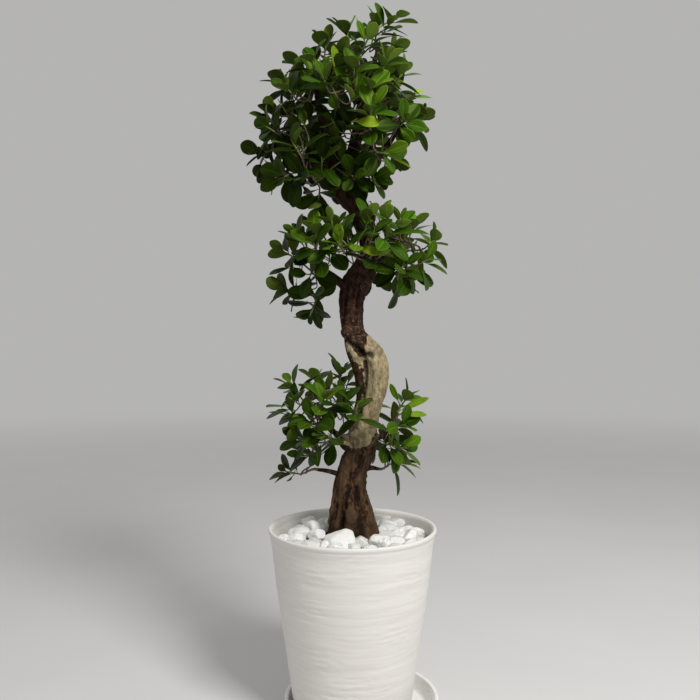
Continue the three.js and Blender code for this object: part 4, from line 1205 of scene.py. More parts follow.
# How light a leaf is: young ones are yellower, and a few stand out
def leaf_tone(head, leaf):
    draw = random_from(leaf["seed"] + TONE_SEED)
    base, spread = LEAF_TONES[head]
    tone = base + wander(draw, spread) + TONE_BY_AGE * (MIDDLE_AGE - leaf["age"])
    if draw() > BRIGHT_LEAF["above"]:
        tone += BRIGHT_LEAF["lighter"]
    return leaf.get("tone", min(max(tone, 0.0), 1.0)), draw()


def add_leaf(stack, head, leaf):
    points, place = blade(leaf)
    look = (*leaf_tone(head, leaf), painted_leaf_light(head, leaf))
    stack.add(points, BLADE_FACES, 0, leaf_place=place, leaf_look=look)


# A twig with a small swelling at each leaf, and its long pointed bud
def add_twig(stack, shoot):
    curve, axis = shoot["curve"], shoot["axis"]
    first, last = (TWIG_SLIMMER * radius for radius in shoot["radii"])
    root = shoot.get("root_radius", TWIG_ROOT_WIDER * first)
    line = []
    for step in range(BARE_RINGS + 1):
        share = step / BARE_RINGS
        heading = axis if step == BARE_RINGS else curve.heading(share)
        radius = first + (last - first) * share + (root - first) * (1 - share) ** 4
        line.append((curve.at(share), heading, radius))
    middle, heading, radius = line[0]
    line.insert(0, (middle - heading * TWIG_ROOT_SUNK, heading, radius))
    leafy_start = curve.at(1)
    for step in range(1, 2 * shoot["leaves"] + 1):
        line.append((leafy_start + axis * (0.5 * step * SHOOT_STEP), axis, last * SWELLINGS[step % 2]))
    tip = line[-1][0]
    line += [(tip + axis * along * (BUD_LENGTH + BUD_LONGER), axis, radius) for along, radius in BUD_RINGS]
    ages = np.linspace(*TWIG_AGES, len(line)).clip(0, 1)
    look = np.repeat(np.column_stack([ages, np.zeros((len(line), 2))]), TWIG_SIDES, axis=0)
    rings = rings_along(line, TWIG_SIDES)
    stack.add(np.concatenate(rings), tube_faces(len(rings), TWIG_SIDES), 1, leaf_look=look)


# Leaves that the plain sprays have no room for, each with its index and planned a few times over
def extra_leaves(shoot, seed):
    found = []
    curve, axis, (across, other) = shoot["curve"], shoot["axis"], shoot["frame"]
    for index in range(YOUNG_LEAVES + OLD_LEAVES):
        young = index < YOUNG_LEAVES
        kind = YOUNG_LEAF if young else OLD_LEAF
        for attempt in range(EXTRA_ATTEMPTS):
            draw = random_from(seed + EXTRA_LEAF_STEP * index + EXTRA_ATTEMPT_STEP * attempt)
            angle = EXTRA_TURN * index + ANY_TURN * draw()
            if young:
                along = shoot["leaves"] * SHOOT_STEP + kind["first"] + kind["apart"] * index
                base, heading = curve.at(1) + axis * along, axis
            else:
                share = drawn(draw, kind["at"])
                base, heading = curve.at(share), curve.heading(share)
            length = drawn(draw, kind["length"])
            opening = math.radians(drawn(draw, kind["opening"]))
            side = square_to(
                heading, across * math.cos(angle) + other * math.sin(angle) + heading * EXTRA_LEAN)
            direction = heading * math.cos(opening) + side * math.sin(opening)
            direction[2] += EXTRA_TILT * (draw() - EXTRA_TILT_MIDDLE)
            direction = unit(direction)
            roll = math.radians(wander(draw, EXTRA_ROLL))
            normal = turned_about(square_to(direction, heading + UP * EXTRA_TO_LIGHT), direction, roll)
            age = 0.0 if young else 1.0
            found.append((index, leaf_at(base, direction, normal, length, age, seed + EXTRA_LEAF_STEP * index,
                                         draw, EXTRA_LEAF_SHAPE)))
    return found


# A short twig along a curve, with room for its leaves
def short_shoot(curve, axis, leaves):
    return {"curve": curve, "axis": axis, "leaves": leaves, "radii": INNER_RADII, "shapes": []}


# A short twig that leaves a shoot and carries leaves nearer to the middle of its head
def inner_shoot(shoot, centre, seed):
    draw = random_from(seed)
    share = drawn(draw, INNER_AT)
    start, heading = shoot["curve"].at(share), shoot["curve"].heading(share)
    inwards = drawn(draw, INNER_DEPTH)
    target = centre + (shoot["curve"].at(1) - centre) * inwards + any_way(draw) * INNER_SPREAD
    run = target - start
    reach = min(max(float(np.linalg.norm(run)), INNER_REACH[0]), INNER_REACH[1])
    run = unit(run)
    axis = unit(unit(target - centre) * INNER_LEAN["outward"] + UP * INNER_LEAN["up"]
                + run * INNER_LEAN["run"] + any_way(draw) * INNER_LEAN["wander"])
    end = start + run * reach
    pull = reach / 3
    curve = BendCurve(start, start + unit(heading * INNER_KEEPS + run) * pull, end - axis * pull, end)
    least, more = INNER_LEAVES
    return short_shoot(curve, axis, least + int(more * draw()))


# Whether something there would hide the open parts of the trunk from the front
def hides_trunk(place):
    x, y, z = place
    return y < FRONT_OF_TRUNK and any(
        left < x < right and bottom < z < top for left, right, bottom, top in OPEN_TRUNK)


# Whether an inner twig would leave its head, hang below it or hide the open parts of the trunk
def misplaced(name, shoot, parent, centre):
    end = shoot["curve"].at(1)
    tip = end + shoot["axis"] * INNER_TIP
    outside = np.linalg.norm(end - centre) > np.linalg.norm(parent["curve"].at(1) - centre)
    return outside or tip[2] < LOWEST_INNER_END[name.split("_")[0]] or hides_trunk(tip)


# Joins a short twig to a shoot if it is clear of the other sprays, and says whether it is joined
def join_twig(plan, parent, twig, bars):
    pieces = shoot_bars(twig)
    if not shoot_is_clear(pieces, bars, plan["name"], False):
        return False
    twig["frame"], twig["parent"] = leafy_frame(twig), id(parent)
    plan["shoots"].append(twig)
    for start, end in pieces:
        bars.add(start, end, INNER_RADII[0], plan["name"], id(twig))
    return True


def add_inner_twigs(plans, bars):
    for plan in plans:
        outer = [shoot for shoot in plan["shoots"] if "parent" not in shoot]
        centre = SPRAYS[plan["index"]]["centre"]
        for shoot_index, shoot in enumerate(outer):
            for number in range(MORE_INNER_TWIGS.get(plan["name"], INNER_TWIGS)):
                seed = seed_of(INNER_TWIG_SEEDS, plan["index"], shoot_index) + INNER_TWIG_STEP * number
                for attempt in range(SHOOT_ATTEMPTS):
                    twig = inner_shoot(shoot, centre, seed + SHOOT_ATTEMPT_STEP * attempt)
                    if misplaced(plan["name"], twig, shoot, centre):
                        continue
                    if join_twig(plan, shoot, twig, bars):
                        break


# A short twig to a chosen place from one of the shoots nearest to it, or none if there is no room
def chosen_twig(plans, bars, end, way, leaves, seed):
    starts = sorted(
        (float(np.linalg.norm(shoot["curve"].at(share) - end)), plan_index, shoot_index, share)
        for plan_index, plan in enumerate(plans) for shoot_index, shoot in enumerate(plan["shoots"])
        for share in START_SHARES)
    for _, plan_index, shoot_index, share in starts[:NEAREST_STARTS:EVERY_START]:
        plan = plans[plan_index]
        shoot = plan["shoots"][shoot_index]
        start, heading = shoot["curve"].at(share), shoot["curve"].heading(share)
        for attempt in range(CHOSEN_ATTEMPTS):
            draw = random_from(seed + SHOOT_ATTEMPT_STEP * attempt)
            axis = unit(unit(way) + any_way(draw) * CHOSEN_TWIG["wander"])
            target = end + any_way(draw) * attempt
            run = target - start
            pull = float(np.linalg.norm(run)) / 3
            after_start = start + unit(heading * CHOSEN_TWIG["keeps"] + unit(run)) * pull
            before_end = target - axis * pull * CHOSEN_TWIG["end_pull"]
            twig = short_shoot(BendCurve(start, after_start, before_end, target), axis, leaves)
            if join_twig(plan, shoot, twig, bars):
                return twig
    return None


def add_chosen_twigs(plans, bars):
    for index, (end, way, leaves) in enumerate(CHOSEN_TWIGS):
        end, way = np.array(end, dtype=float), np.array(way, dtype=float)
        chosen_twig(plans, bars, end, way, leaves, seed_of(CHOSEN_TWIG_SEEDS, index))


# Each chosen leaf at the end of a short twig of its own, left out where it would meet others
def add_chosen_leaves(plans, bars, placed):
    for index, (base, tip, face, slim, tone) in enumerate(CHOSEN_LEAVES):
        base, tip, face = (np.array(point, dtype=float) for point in (base, tip, face))
        seed, leaf_seed = (seed_of(CHOSEN_LEAF_SEEDS, index, step) for step in (0, 1))
        direction = unit(tip - base)
        twig = chosen_twig(plans, bars, base, direction + UP * CHOSEN_LEAF["rise"], 1, seed)
        if not twig:
            continue
        base = twig["curve"].at(1) + twig["axis"] * 0.5 * SHOOT_STEP
        length = float(np.linalg.norm(tip - base))
        shape = {"width": (slim, 0), "fold": (CHOSEN_LEAF["fold"], 0), "droop": (CHOSEN_LEAF["droop"], 0)}
        others = bars.arrays(lambda _, owner: owner is None or owner not in (id(twig), twig["parent"]))
        for attempt in range(CHOSEN_ATTEMPTS):
            draw = random_from(leaf_seed + SHOOT_ATTEMPT_STEP * attempt)
            way = unit(direction + any_way(draw) * CHOSEN_LEAF["wander"] * attempt)
            normal = square_to(way, face + any_way(draw) * CHOSEN_LEAF["roll"] * attempt)
            leaf = leaf_at(base, way, normal, length, CHOSEN_LEAF["age"], seed, draw, shape)
            leaf["tone"] = tone
            if set_leaf(leaf, twig, placed, others):
                break


# Whether an added leaf would stand above the crown or hide the open parts of the trunk
def is_in_the_way(leaf):
    tip = leaf["base"] + leaf["direction"] * leaf["length"]
    return tip[2] > ADDED_LEAF_TOP or hides_trunk(leaf_corners(leaf)[RIB])


# Fills the heads: a shoot of the plain sprays gets extra leaves, and an added twig its own leaves.
# The twigs of chosen leaves have one place for a leaf and get no more.
def fill_sprays(plans, bars, placed):
    add_chosen_leaves(plans, bars, placed)
    add_chosen_twigs(plans, bars)
    add_inner_twigs(plans, bars)
    for plan in plans:
        for shoot_index, shoot in enumerate(plan["shoots"]):
            if shoot["leaves"] == 1:
                continue
            family = (id(shoot), shoot.get("parent"))
            others = bars.arrays(lambda _, owner: owner is None or owner not in family)
            seed = seed_of(EXTRA_LEAF_SEEDS, plan["index"], shoot_index)
            if "parent" in shoot:
                tries = [(index, plan_leaf(shoot, seed, index, attempt))
                         for index in range(shoot["leaves"]) for attempt in range(LEAF_ATTEMPTS)]
            else:
                tries = extra_leaves(shoot, seed)
            done = set()
            for index, leaf in tries:
                if index in done or is_in_the_way(leaf):
                    continue
                if set_leaf(leaf, shoot, placed, others):
                    done.add(index)


# One piece for each spray. The root of its first shoot is as wide as the wood that it grows from.
def build_sprays(plans, leaf_look, twig_look):
    for plan in plans:
        stack = Stack(("leaf_place", "leaf_look"))
        head = plan["name"].split("_")[0]
        spray = SPRAYS[plan["index"]]
        wood_radius = spray["limb"][0][1] if spray["at"] == 1 else STUB_RADIUS
        plan["shoots"][0]["root_radius"] = wood_radius * LIMB_END_SHARE
        for shoot in plan["shoots"]:
            if shoot["shapes"]:
                add_twig(stack, shoot)
            for shape in shoot["shapes"]:
                add_leaf(stack, head, shape["leaf"])
        name = plan["name"] + "_leaves"
        place_piece(name, stack.mesh(name, [leaf_look, twig_look]), plan["name"])


# Trunk and limbs

STEM_STEPS = 430
STEM_SIDES = 72
STRAND_STEPS = 120
STRAND_SIDES = 24
STUMP_SIDES = 32
STUB_SIDES = 10
LIMB_STEPS = 40
LIMB_SIDES = 14
# A limb's wood as a share of its width where it starts, and what it loses to its end
LIMB_START_SHARE = 0.98
LIMB_TAPER = 0.22
ROUND_TIP = (0.5, 0.95, 1.3)
BALL_SIDES = 14
BALL_ROWS = 9
BARK_VOXEL = 1.42
BARK_SMOOTHING = 6
# Knots and old cuts: their middles and radii
KNOTS = [
    ((-9, -12, 590), (9, 8, 10)),
    ((24, -12, 566), (11, 8, 9)),
    ((-8, -11, 421), (12, 11, 13)),
    ((8, -15, 431), (13, 10, 12)),
    ((25, -10, 413), (11, 10, 11)),
    ((33, -6, 428), (8, 8, 8)),
    ((6, -12, 668), (12, 9, 12)),
    ((27, -2, 770), (9, 8, 13)),
    ((-26, -12, 812), (11, 10, 12)),
    ((8, -15, 806), (11, 9, 12)),
    ((-20, 14, 806), (12, 10, 12)),
]
# Scars on the front: their middles, radii and depths, and the swollen lip round each
SCARS = [
    ((27, -27, 557), 6.0, 5.0),
    ((15, -24, 437), 4.0, 1.4),
    ((36, -24, 505), 3.5, 1.6),
    ((2, -19, 634), 5.0, 2.5),
]
SCAR_SPREAD = 1.3
SCAR_LIP = {"height": 0.4, "at": 1.3, "sharpness": 6}
# Grooves on the front: x and z of their points, their width and depth
GROOVES = [
    ([(-5, 574), (9, 564), (22, 555)], 3.2, 3.2),
    ([(19, 546), (21, 530), (20, 508), (15, 482), (8, 458)], 2.6, 3.4),
    ([(-1, 372), (-8, 345), (-13, 318), (-17, 284)], 3.6, 3.2),
    ([(4, 352), (9, 326), (13, 300), (16, 276)], 4.2, 3.6),
    ([(-23, 326), (-27, 300), (-30, 280)], 3.2, 2.4),
    ([(-14, 604), (-9, 640), (-4, 668)], 2.4, 1.8),
    ([(5, 600), (6, 632), (12, 662)], 2.2, 1.8),
]
GROOVE_FACING = (0.1, 0.45)
# The khaki bark seen from the front, partly its own colour and partly painted light on the lit bend: x, z and
# half its width along two paths
KHAKI_PATHS = [
    [(30, 578, 10), (37, 566, 15), (39, 548, 18), (38, 522, 19),
     (34, 495, 17), (27, 472, 19), (16, 452, 24), (8, 440, 26)],
    [(-9, 570, 4), (4, 554, 6), (18, 540, 7)],
]
PATH_EDGE = 2.5
# Ropes and cords along the wood: the size of their noise, its shift and how sharply they part
ROPES = ((0.5, 0.5, 5.5), 0)
CORDS = ((0.2, 0.2, 1.9), 7.3)
STRAND_SHIFT = 5.1
CORD_SHARPNESS = 2.2
ROUND_TO_ALONG = 10
NEARBY_WOOD = 1.6
# The other forms of the bark: the size of their noise and its shift
BARK_NOISES = {
    "lumps": (11, 3.1),
    "wrinkles": ((4.2, 4.2, 2.1), 5.7),
    "plates": (4.6, 9.2),
    "grit": (2.1, 1.7),
}
# How far each form stands out in millimetres at the foot, at the bend and above it
BARK_FORMS = [
    {"ropes": 2.2, "cords": 1.0, "lumps": 0.9, "plates": 0.6, "grit": 0.3},
    {"ropes": 0.5, "cords": 0.25, "lumps": 0.9, "wrinkles": 0.32, "grit": 0.2},
    {"ropes": 1.3, "cords": 0.9, "lumps": 1.0, "plates": 0.6, "grit": 0.3},
]
FULL_RELIEF_RADIUS = 16
RELIEF_SHARES = (0.15, 1.15)
RELIEF_RANGE = 2.2
# Heights between which the bark changes, and those of the chopped knuckle at the lower cut
FOOT_ENDS = (395, 440)
BEND_ENDS = (575, 620)
KNUCKLE = ((414, 424), (444, 456))
# Fine roots: the knots that they sprout from and how many there are on each
HAIRY_KNOTS = [
    ((30, -4, 772), 12),
    ((24, -8, 752), 7),
    ((-6, -12, 806), 5),
    ((12, -14, 668), 5),
    ((2, -17, 424), 5),
]
HAIR_SEED = 8800
HAIR_RADIUS = 0.32
HAIR_TAPER = 0.6
HAIR_SIDES = 5
HAIR_STEPS = 9
HAIR_START = 7
HAIR_LENGTH = (9, 14)
HAIR_DROOP = (0.2, 0.5)
HAIR_FLECKS = (0.5, 0.4)
HAIR_TINT = (0.6, 0.5, 0.5)


def bark_ridge(angles, height):
    flare = min(max((FLARE_TOP - height) / (FLARE_TOP - SOIL_TOP), 0), 1)
    depth = BARK_RIDGE_DEPTH + (FLARE_RIDGE_DEPTH - BARK_RIDGE_DEPTH) * flare
    return 1 + depth * np.cos(BARK_RIDGES * (angles + RIDGE_TWIST * height))


# A row with its far end drawn in to a round tip
def rounded_line(line):
    middle, heading, radius = line[-1]
    tips = [(middle + heading * radius * math.sin(turn), heading, radius * math.cos(turn))
            for turn in ROUND_TIP]
    return line + tips


def add_tube(stack, line, sides, outline=None):
    rings = rings_along(line, sides, outline)
    stack.add(np.concatenate(rings), tube_faces(len(rings), sides))


# A ball with a small flat place at each pole
def add_ball(stack, centre, radii):
    line = []
    for row in range(BALL_ROWS):
        turn = math.pi * (0.04 + 0.92 * row / (BALL_ROWS - 1)) - math.pi / 2
        line.append((np.array([0, 0, math.sin(turn)]), UP, math.cos(turn)))
    ball = np.concatenate(rings_along(line, BALL_SIDES)) * np.array(radii) + np.array(centre)
    stack.add(ball, tube_faces(BALL_ROWS, BALL_SIDES))


# The wood as overlapping tubes and balls, and the lines of the stem, the strand and the limbs
def rough_trunk():
    stack = Stack()
    stem = stations_along(TRUNK_STATIONS, STEM_STEPS)
    add_tube(stack, stem, STEM_SIDES, bark_ridge)
    strand = stations_along(STRAND_STATIONS, STRAND_STEPS)
    add_tube(stack, strand, STRAND_SIDES)
    stump = [(np.array([0.0, 0.0, height]), UP, radius) for height, radius in (
        (STUMP_BOTTOM, STUMP_BOTTOM_RADIUS), (SOIL_TOP, STUMP_TOP_RADIUS), (STUMP_TOP, STUMP_TOP_RADIUS))]
    add_tube(stack, stump, STUMP_SIDES)
    limbs = []
    for limb in LIMBS:
        line = stations_along(limb_line(limb), LIMB_STEPS)
        line = [(middle, heading, radius * (LIMB_START_SHARE - LIMB_TAPER * step / LIMB_STEPS))
                for step, (middle, heading, radius) in enumerate(line)]
        limbs.append(line)
        add_tube(stack, rounded_line(line), LIMB_SIDES)
    for spray in SPRAYS:
        if spray["at"] < 1:
            start, end, heading = stub_of(spray)
            line = [(start, heading, STUB_RADIUS), (end, heading, LIMB_END_SHARE * STUB_RADIUS)]
            add_tube(stack, rounded_line(line), STUB_SIDES)
    for centre, radii in KNOTS:
        add_ball(stack, centre, radii)
    return stack, [[stem], [strand], limbs]


# The wood as one skin without inner walls
def joined_wood(stack):
    rough = bpy.data.objects.new("rough_wood", stack.mesh("rough_wood", []))
    bpy.context.collection.objects.link(rough)
    remesh = rough.modifiers.new("skin", "REMESH")
    remesh.mode = "VOXEL"
    remesh.voxel_size = BARK_VOXEL * MM
    smooth = rough.modifiers.new("smooth", "SMOOTH")
    smooth.iterations = BARK_SMOOTHING
    smooth.factor = 0.5
    shape = rough.evaluated_get(bpy.context.evaluated_depsgraph_get())
    mesh = bpy.data.meshes.new_from_object(shape)
    bpy.data.objects.remove(rough)
    mesh.name = "trunk_bark"
    return mesh


# For each point of the wood beside some lines: the angle round the nearest of them, how far along it
# the point is, its radius and how far outside it the point lies
def along_wood(points, lines):
    rows = []
    tree = kdtree.KDTree(sum(len(line) for line in lines))
    for line in lines:
        across = first_across(line[0][1])
        travelled = 0.0
        before = line[0][0]
        for middle, heading, radius in line:
            across = square_to(heading, across)
            travelled += math.dist(middle, before)
            before = middle
            tree.insert(middle, len(rows))
            rows.append((*middle, *across, *np.cross(heading, across), travelled, radius))
    tree.balance()
    rows = np.array(rows)
    nearest = np.array([tree.find(point)[1] for point in points.tolist()])
    found = rows[nearest]
    offset = points - found[:, 0:3]
    angle = np.arctan2(dots(offset, found[:, 6:9]), dots(offset, found[:, 3:6]))
    outside = np.linalg.norm(offset, axis=1) - found[:, 10]
    return angle, found[:, 9], found[:, 10], outside


# Root-like ropes and finer cords that run along the wood, from -1 to 1, and the wood's radius
def bark_cords(points, groups):
    total, ropes, cords, radii = 0, 0, 0, 0
    for number, lines in enumerate(groups):
        angle, along, radius, outside = along_wood(points, lines)
        near = np.exp(-np.clip(outside, -20, 60) / NEARBY_WOOD) + NEARLY_ZERO
        round_wood = np.column_stack([np.cos(angle), np.sin(angle), along / ROUND_TO_ALONG])
        rope, cord = (1 - CORD_SHARPNESS * np.abs(noise_at(round_wood, size, shift + STRAND_SHIFT * number))
                      for size, shift in (ROPES, CORDS))
        ropes = ropes + near * rope
        cords = cords + near * cord
        radii = radii + near * radius
        total = total + near
    return ropes / total, cords / total, radii / total


# How deep a front groove is at each point, from 0 to 1
def groove_share(points, normals, path, width):
    path = np.array(path, dtype=float)
    flat = points[:, [0, 2]]
    gap = np.full(len(points), 1e9)
    for start, end in zip(path, path[1:]):
        run = end - start
        share = np.clip(((flat - start) @ run) / float(run @ run), 0, 1)
        gap = np.minimum(gap, np.linalg.norm(flat - start - share[:, None] * run, axis=1))
    return np.exp(-((gap / width) ** 2)) * blend_between(-normals[:, 1], *GROOVE_FACING)


# A share that rises smoothly from 0 at the low value to 1 at the high one
def blend_between(value, low, high):
    share = np.clip((value - low) / (high - low), 0, 1)
    return share * share * (3 - 2 * share)


# A share that is 1 between two stretches of height and fades to 0 below and above them
def band(heights, rise, fall):
    return blend_between(heights, *rise) * (1 - blend_between(heights, *fall))


# How far the bark stands out or sinks in at each point, in millimetres
def bark_relief(points, normals, groups):
    ropes, cords, radius = bark_cords(points, groups)
    height = points[:, 2]
    forms = {"ropes": ropes, "cords": cords}
    for name, (size, shift) in BARK_NOISES.items():
        forms[name] = noise_at(points, size, shift)
    low, bend, high = (sum(weight * forms[name] for name, weight in weights.items())
                       for weights in BARK_FORMS)
    foot = 1 - blend_between(height, *FOOT_ENDS)
    upper = blend_between(height, *BEND_ENDS)
    relief = (low * foot + bend * (1 - foot)) * (1 - upper) + high * upper
    relief = relief * np.clip(radius / FULL_RELIEF_RADIUS, *RELIEF_SHARES)
    chops = 1.5 * noise_at(points, (6, 6, 5), 7.9) + 0.9 * np.abs(noise_at(points, 3.0, 4.6))
    relief = relief + band(height, *KNUCKLE) * chops
    for centre, scar_radius, depth in SCARS:
        gap = np.linalg.norm(points - np.array(centre), axis=1) / (scar_radius * SCAR_SPREAD)
        lip = SCAR_LIP["height"] * np.exp(-((gap - SCAR_LIP["at"]) ** 2) * SCAR_LIP["sharpness"])
        relief = relief + depth * (lip - np.exp(-(gap ** 2)))
    for path, width, depth in GROOVES:
        relief = relief - depth * groove_share(points, normals, path, width)
    return relief


# How close points lie to a path on the front of the trunk, as a share from 0 to 1 with a ragged edge
def beside_path(points, path, ragged):
    flat = points[:, [0, 2]]
    best = np.full(len(points), -1e9)
    for (x0, z0, half0), (x1, z1, half1) in zip(path, path[1:]):
        start, run = np.array([x0, z0]), np.array([x1 - x0, z1 - z0])
        share = np.clip(((flat - start) @ run) / float(run @ run), 0, 1)
        gap = np.linalg.norm(flat - start - share[:, None] * run, axis=1)
        best = np.maximum(best, half0 + (half1 - half0) * share - gap)
    return blend_between(best + ragged, -PATH_EDGE, PATH_EDGE)


# How khaki, how far above the bend and how ochre the bark is, each from 0 to 1. The khaki stands partly for
# painted light, the dark bark above the bend partly for painted shade.
def bark_tint(points):
    ragged = 4.5 * noise_at(points, (10, 10, 15), 4.4) + 3.0 * noise_at(points, (3.2, 3.2, 5), 2.9)
    khaki = np.max([beside_path(points, path, ragged) for path in KHAKI_PATHS], axis=0)
    height = points[:, 2]
    above = blend_between(height + 3 * ragged, 560, 600)
    patches = blend_between(noise_at(points, (13, 13, 30), 8.1), -0.1, 0.3)
    ochre = patches * (1 - blend_between(height, 380, 410))
    return np.column_stack([khaki, above, ochre])


# Pale scales on the bend, and yellowish ones on the dark bark round it
def bark_flecks(points, khaki):
    specks = noise_at(points, (1.9, 1.9, 0.9), 11.0)
    scales = noise_at(points, (4.2, 4.2, 2.0), 6.2) + 0.5 * noise_at(points, 1.7, 3.4)
    near_bend = band(points[:, 2], (535, 560), (600, 650))
    knuckle = band(points[:, 2], (408, 424), (444, 462))
    scaly = blend_between(scales, 0.3, 0.5) * (near_bend * (1 - khaki) + knuckle)
    return 0.3 * (specks > 0.42) * khaki + 0.3 * scaly


# The skin of the wood with its relief, which fades out below the stones
def build_trunk(bark_look):
    stack, groups = rough_trunk()
    mesh = joined_wood(stack)
    count = len(mesh.vertices)
    points = np.empty(count * 3)
    mesh.vertices.foreach_get("co", points)
    points = points.reshape(-1, 3) / MM
    normals = np.empty(count * 3)
    mesh.vertices.foreach_get("normal", normals)
    normals = normals.reshape(-1, 3)
    relief = bark_relief(points, normals, groups)
    hidden = 1 - blend_between(points[:, 2], SOIL_TOP + 1, SOIL_TOP + 6)
    moved = points + normals * (relief * (1 - hidden))[:, None]
    mesh.vertices.foreach_set("co", (moved * MM).ravel())
    tint = bark_tint(points)
    # The relief also sets painted shade in the sunk places of the bark and wear on its ridges
    relief_look = np.clip(relief / RELIEF_RANGE, -1, 1)
    shape_look = np.column_stack([relief_look, bark_flecks(points, tint[:, 0]), np.zeros(count)])
    for name, values in (("bark_look", shape_look), ("bark_tint", tint)):
        attribute = mesh.attributes.new(name, "FLOAT_VECTOR", "POINT")
        attribute.data.foreach_set("vector", values.ravel())
    mesh.polygons.foreach_set("use_smooth", [True] * len(mesh.polygons))
    mesh.materials.clear()
    mesh.materials.append(bark_look)
    mesh.update()
    place_piece("trunk_bark", mesh, "trunk")
    build_root_hairs(bark_look)


# Thin hanging roots that sprout from the knots
def build_root_hairs(bark_look):
    draw = random_from(HAIR_SEED)
    stack = Stack(("bark_look", "bark_tint"))
    for place, count in HAIRY_KNOTS:
        for _ in range(count):
            way = unit(any_way(draw) * np.array([1.0, 1.0, 0.9]) + np.array([0.35, -0.1, 0.0]))
            start = np.array(place) + way * HAIR_START
            reach = drawn(draw, HAIR_LENGTH)
            side = unit(any_way(draw)) * reach * 0.3
            end = start + way * reach + side - UP * reach * drawn(draw, HAIR_DROOP)
            curve = BendCurve(start, start + way * reach * 0.5, end + side * 0.4 + UP * reach * 0.2, end)
            line = [(curve.at(share), curve.heading(share), HAIR_RADIUS * (1 - HAIR_TAPER * share))
                    for share in np.linspace(0, 1, HAIR_STEPS)]
            rings = rings_along(line, HAIR_SIDES)
            stack.add(np.concatenate(rings), tube_faces(len(rings), HAIR_SIDES),
                      bark_look=(0, drawn(draw, HAIR_FLECKS), 0), bark_tint=HAIR_TINT)
    mesh = stack.mesh("trunk_root_hairs", [bark_look])
    place_piece("trunk_root_hairs", mesh, "trunk")


# Pot, saucer and soil

POT_SIDES = 232
SAUCER_SIDES = 144
SOIL_SIDES = 120
CORNER_CUT = 0.25
SEAM = 1e-6

POT_ROW = 1.15
POT_WALL_TOP = 281.6
POT_FLARE = {"out": 1.2, "between": (266, 282)}
# Radius and height of the rolled bead, from the outside over the rim to the inside
POT_BEAD = [
    (128.3, 282.2), (128.9, 283.6), (129.7, 285.2), (POT_RIM_RADIUS, 287.4), (129.4, 289.6),
    (127.6, POT_RIM_Z), (125.6, 289.7), (123.4, 287.6), (POT_INNER_RIM_RADIUS, 284.0),
]
# Heights of the rows of the inner wall, close where the brush marks show and few below the soil
INNER_ROWS = [*np.arange(281, 254, -1.5), 230, 170, 100, 40]

# Brush marks: the size of their noise, its shift, their height where smooth and what roughness adds
BRUSH_MARKS = [
    ((120, 120, 14), 0, 0.42, 0),
    ((62, 62, 6.2), 3.3, 0.14, 0.22),
    ((24, 24, 2.3), 8.8, 0.05, 0.09),
    ((15, 15, 5.5), 5.1, 0.06, 0.4),
]
BRUSH_RADIUS = 118.0
BRUSHED_OUTSIDE = ((5, 9), (279.5, 282.5))
BRUSHED_INSIDE = ((240, 255), (276, 280))
INSIDE_SHARE = 0.25

# Radius and height of the saucer's underside, of its wall with the rolled rim and of its floor
SAUCER_UNDERSIDE = [(0.0, 0.0), (60.0, 0.0)]
SAUCER_WALL = [
    (SAUCER_FLOOR_RADIUS + 0.6, 0.0), (SAUCER_FLOOR_RADIUS + 4.6, 0.8), (SAUCER_FLOOR_RADIUS + 7.2, 4.0),
    (113.4, 14.0), (116.2, 24.0), (117.2, 25.6), (SAUCER_RADIUS - 0.2, 26.4), (SAUCER_RADIUS, 28.2),
    (117.8, SAUCER_HEIGHT), (115.4, SAUCER_HEIGHT), (SAUCER_RADIUS - SAUCER_LIP, 28.9),
    (112.4, 26.4), (111.4, 22.0), (109.2, 12.0), (SAUCER_FLOOR_RADIUS + 4.0, 7.0),
    (SAUCER_FLOOR_RADIUS + 1.6, 4.6), (SAUCER_FLOOR_RADIUS - 2.4, SAUCER_FLOOR),
]
SAUCER_INSIDE = [(98.0, SAUCER_FLOOR), (60.0, SAUCER_FLOOR), (0.0, SAUCER_FLOOR)]

SOIL_ROW = 2.2
CRUMBS_REACH = 116
CRUMB_SINK = 0.7


# A turned shape: rows of (radius, height), and how far each point is pushed outwards and up
def turned_stack(profile, sides, push=None):
    angles = np.arange(sides) / sides * 2 * math.pi
    radii = np.array([radius for radius, _ in profile])[:, None]
    heights = np.array([height for _, height in profile])[:, None]
    shown = np.broadcast_to(radii, (len(profile), sides)).copy()
    level = np.broadcast_to(heights, shown.shape).copy()
    if push:
        out, up = push(np.broadcast_to(angles, shown.shape), shown, level)
        shown, level = shown + out, level + up
    points = np.stack([shown * np.cos(angles), shown * np.sin(angles), level], axis=-1).reshape(-1, 3)
    faces = []
    for row in range(len(profile) - 1):
        lower, upper = row * sides, (row + 1) * sides
        for turn in range(sides):
            after = (turn + 1) % sides
            faces.append((lower + turn, lower + after, upper + after, upper + turn))
    return points, faces


# Corners cut again and again until they are round
def rounded(profile, times=2):
    points = np.array(profile, dtype=float)
    for _ in range(times):
        before, after = points[:-1], points[1:]
        cuts = np.stack([(1 - CORNER_CUT) * before + CORNER_CUT * after,
                         CORNER_CUT * before + (1 - CORNER_CUT) * after], axis=1)
        points = np.concatenate([points[:1], cuts.reshape(-1, 2)[1:-1], points[-1:]])
    return [tuple(point) for point in points]


# The pot's inner wall widens evenly from its floor to its rim
def pot_inner_radius(height):
    share = (height - POT_FLOOR_TOP) / (POT_INNER_RIM_Z - POT_FLOOR_TOP)
    return POT_INNER_FOOT_RADIUS + (POT_INNER_RIM_RADIUS - POT_INNER_FOOT_RADIUS) * share


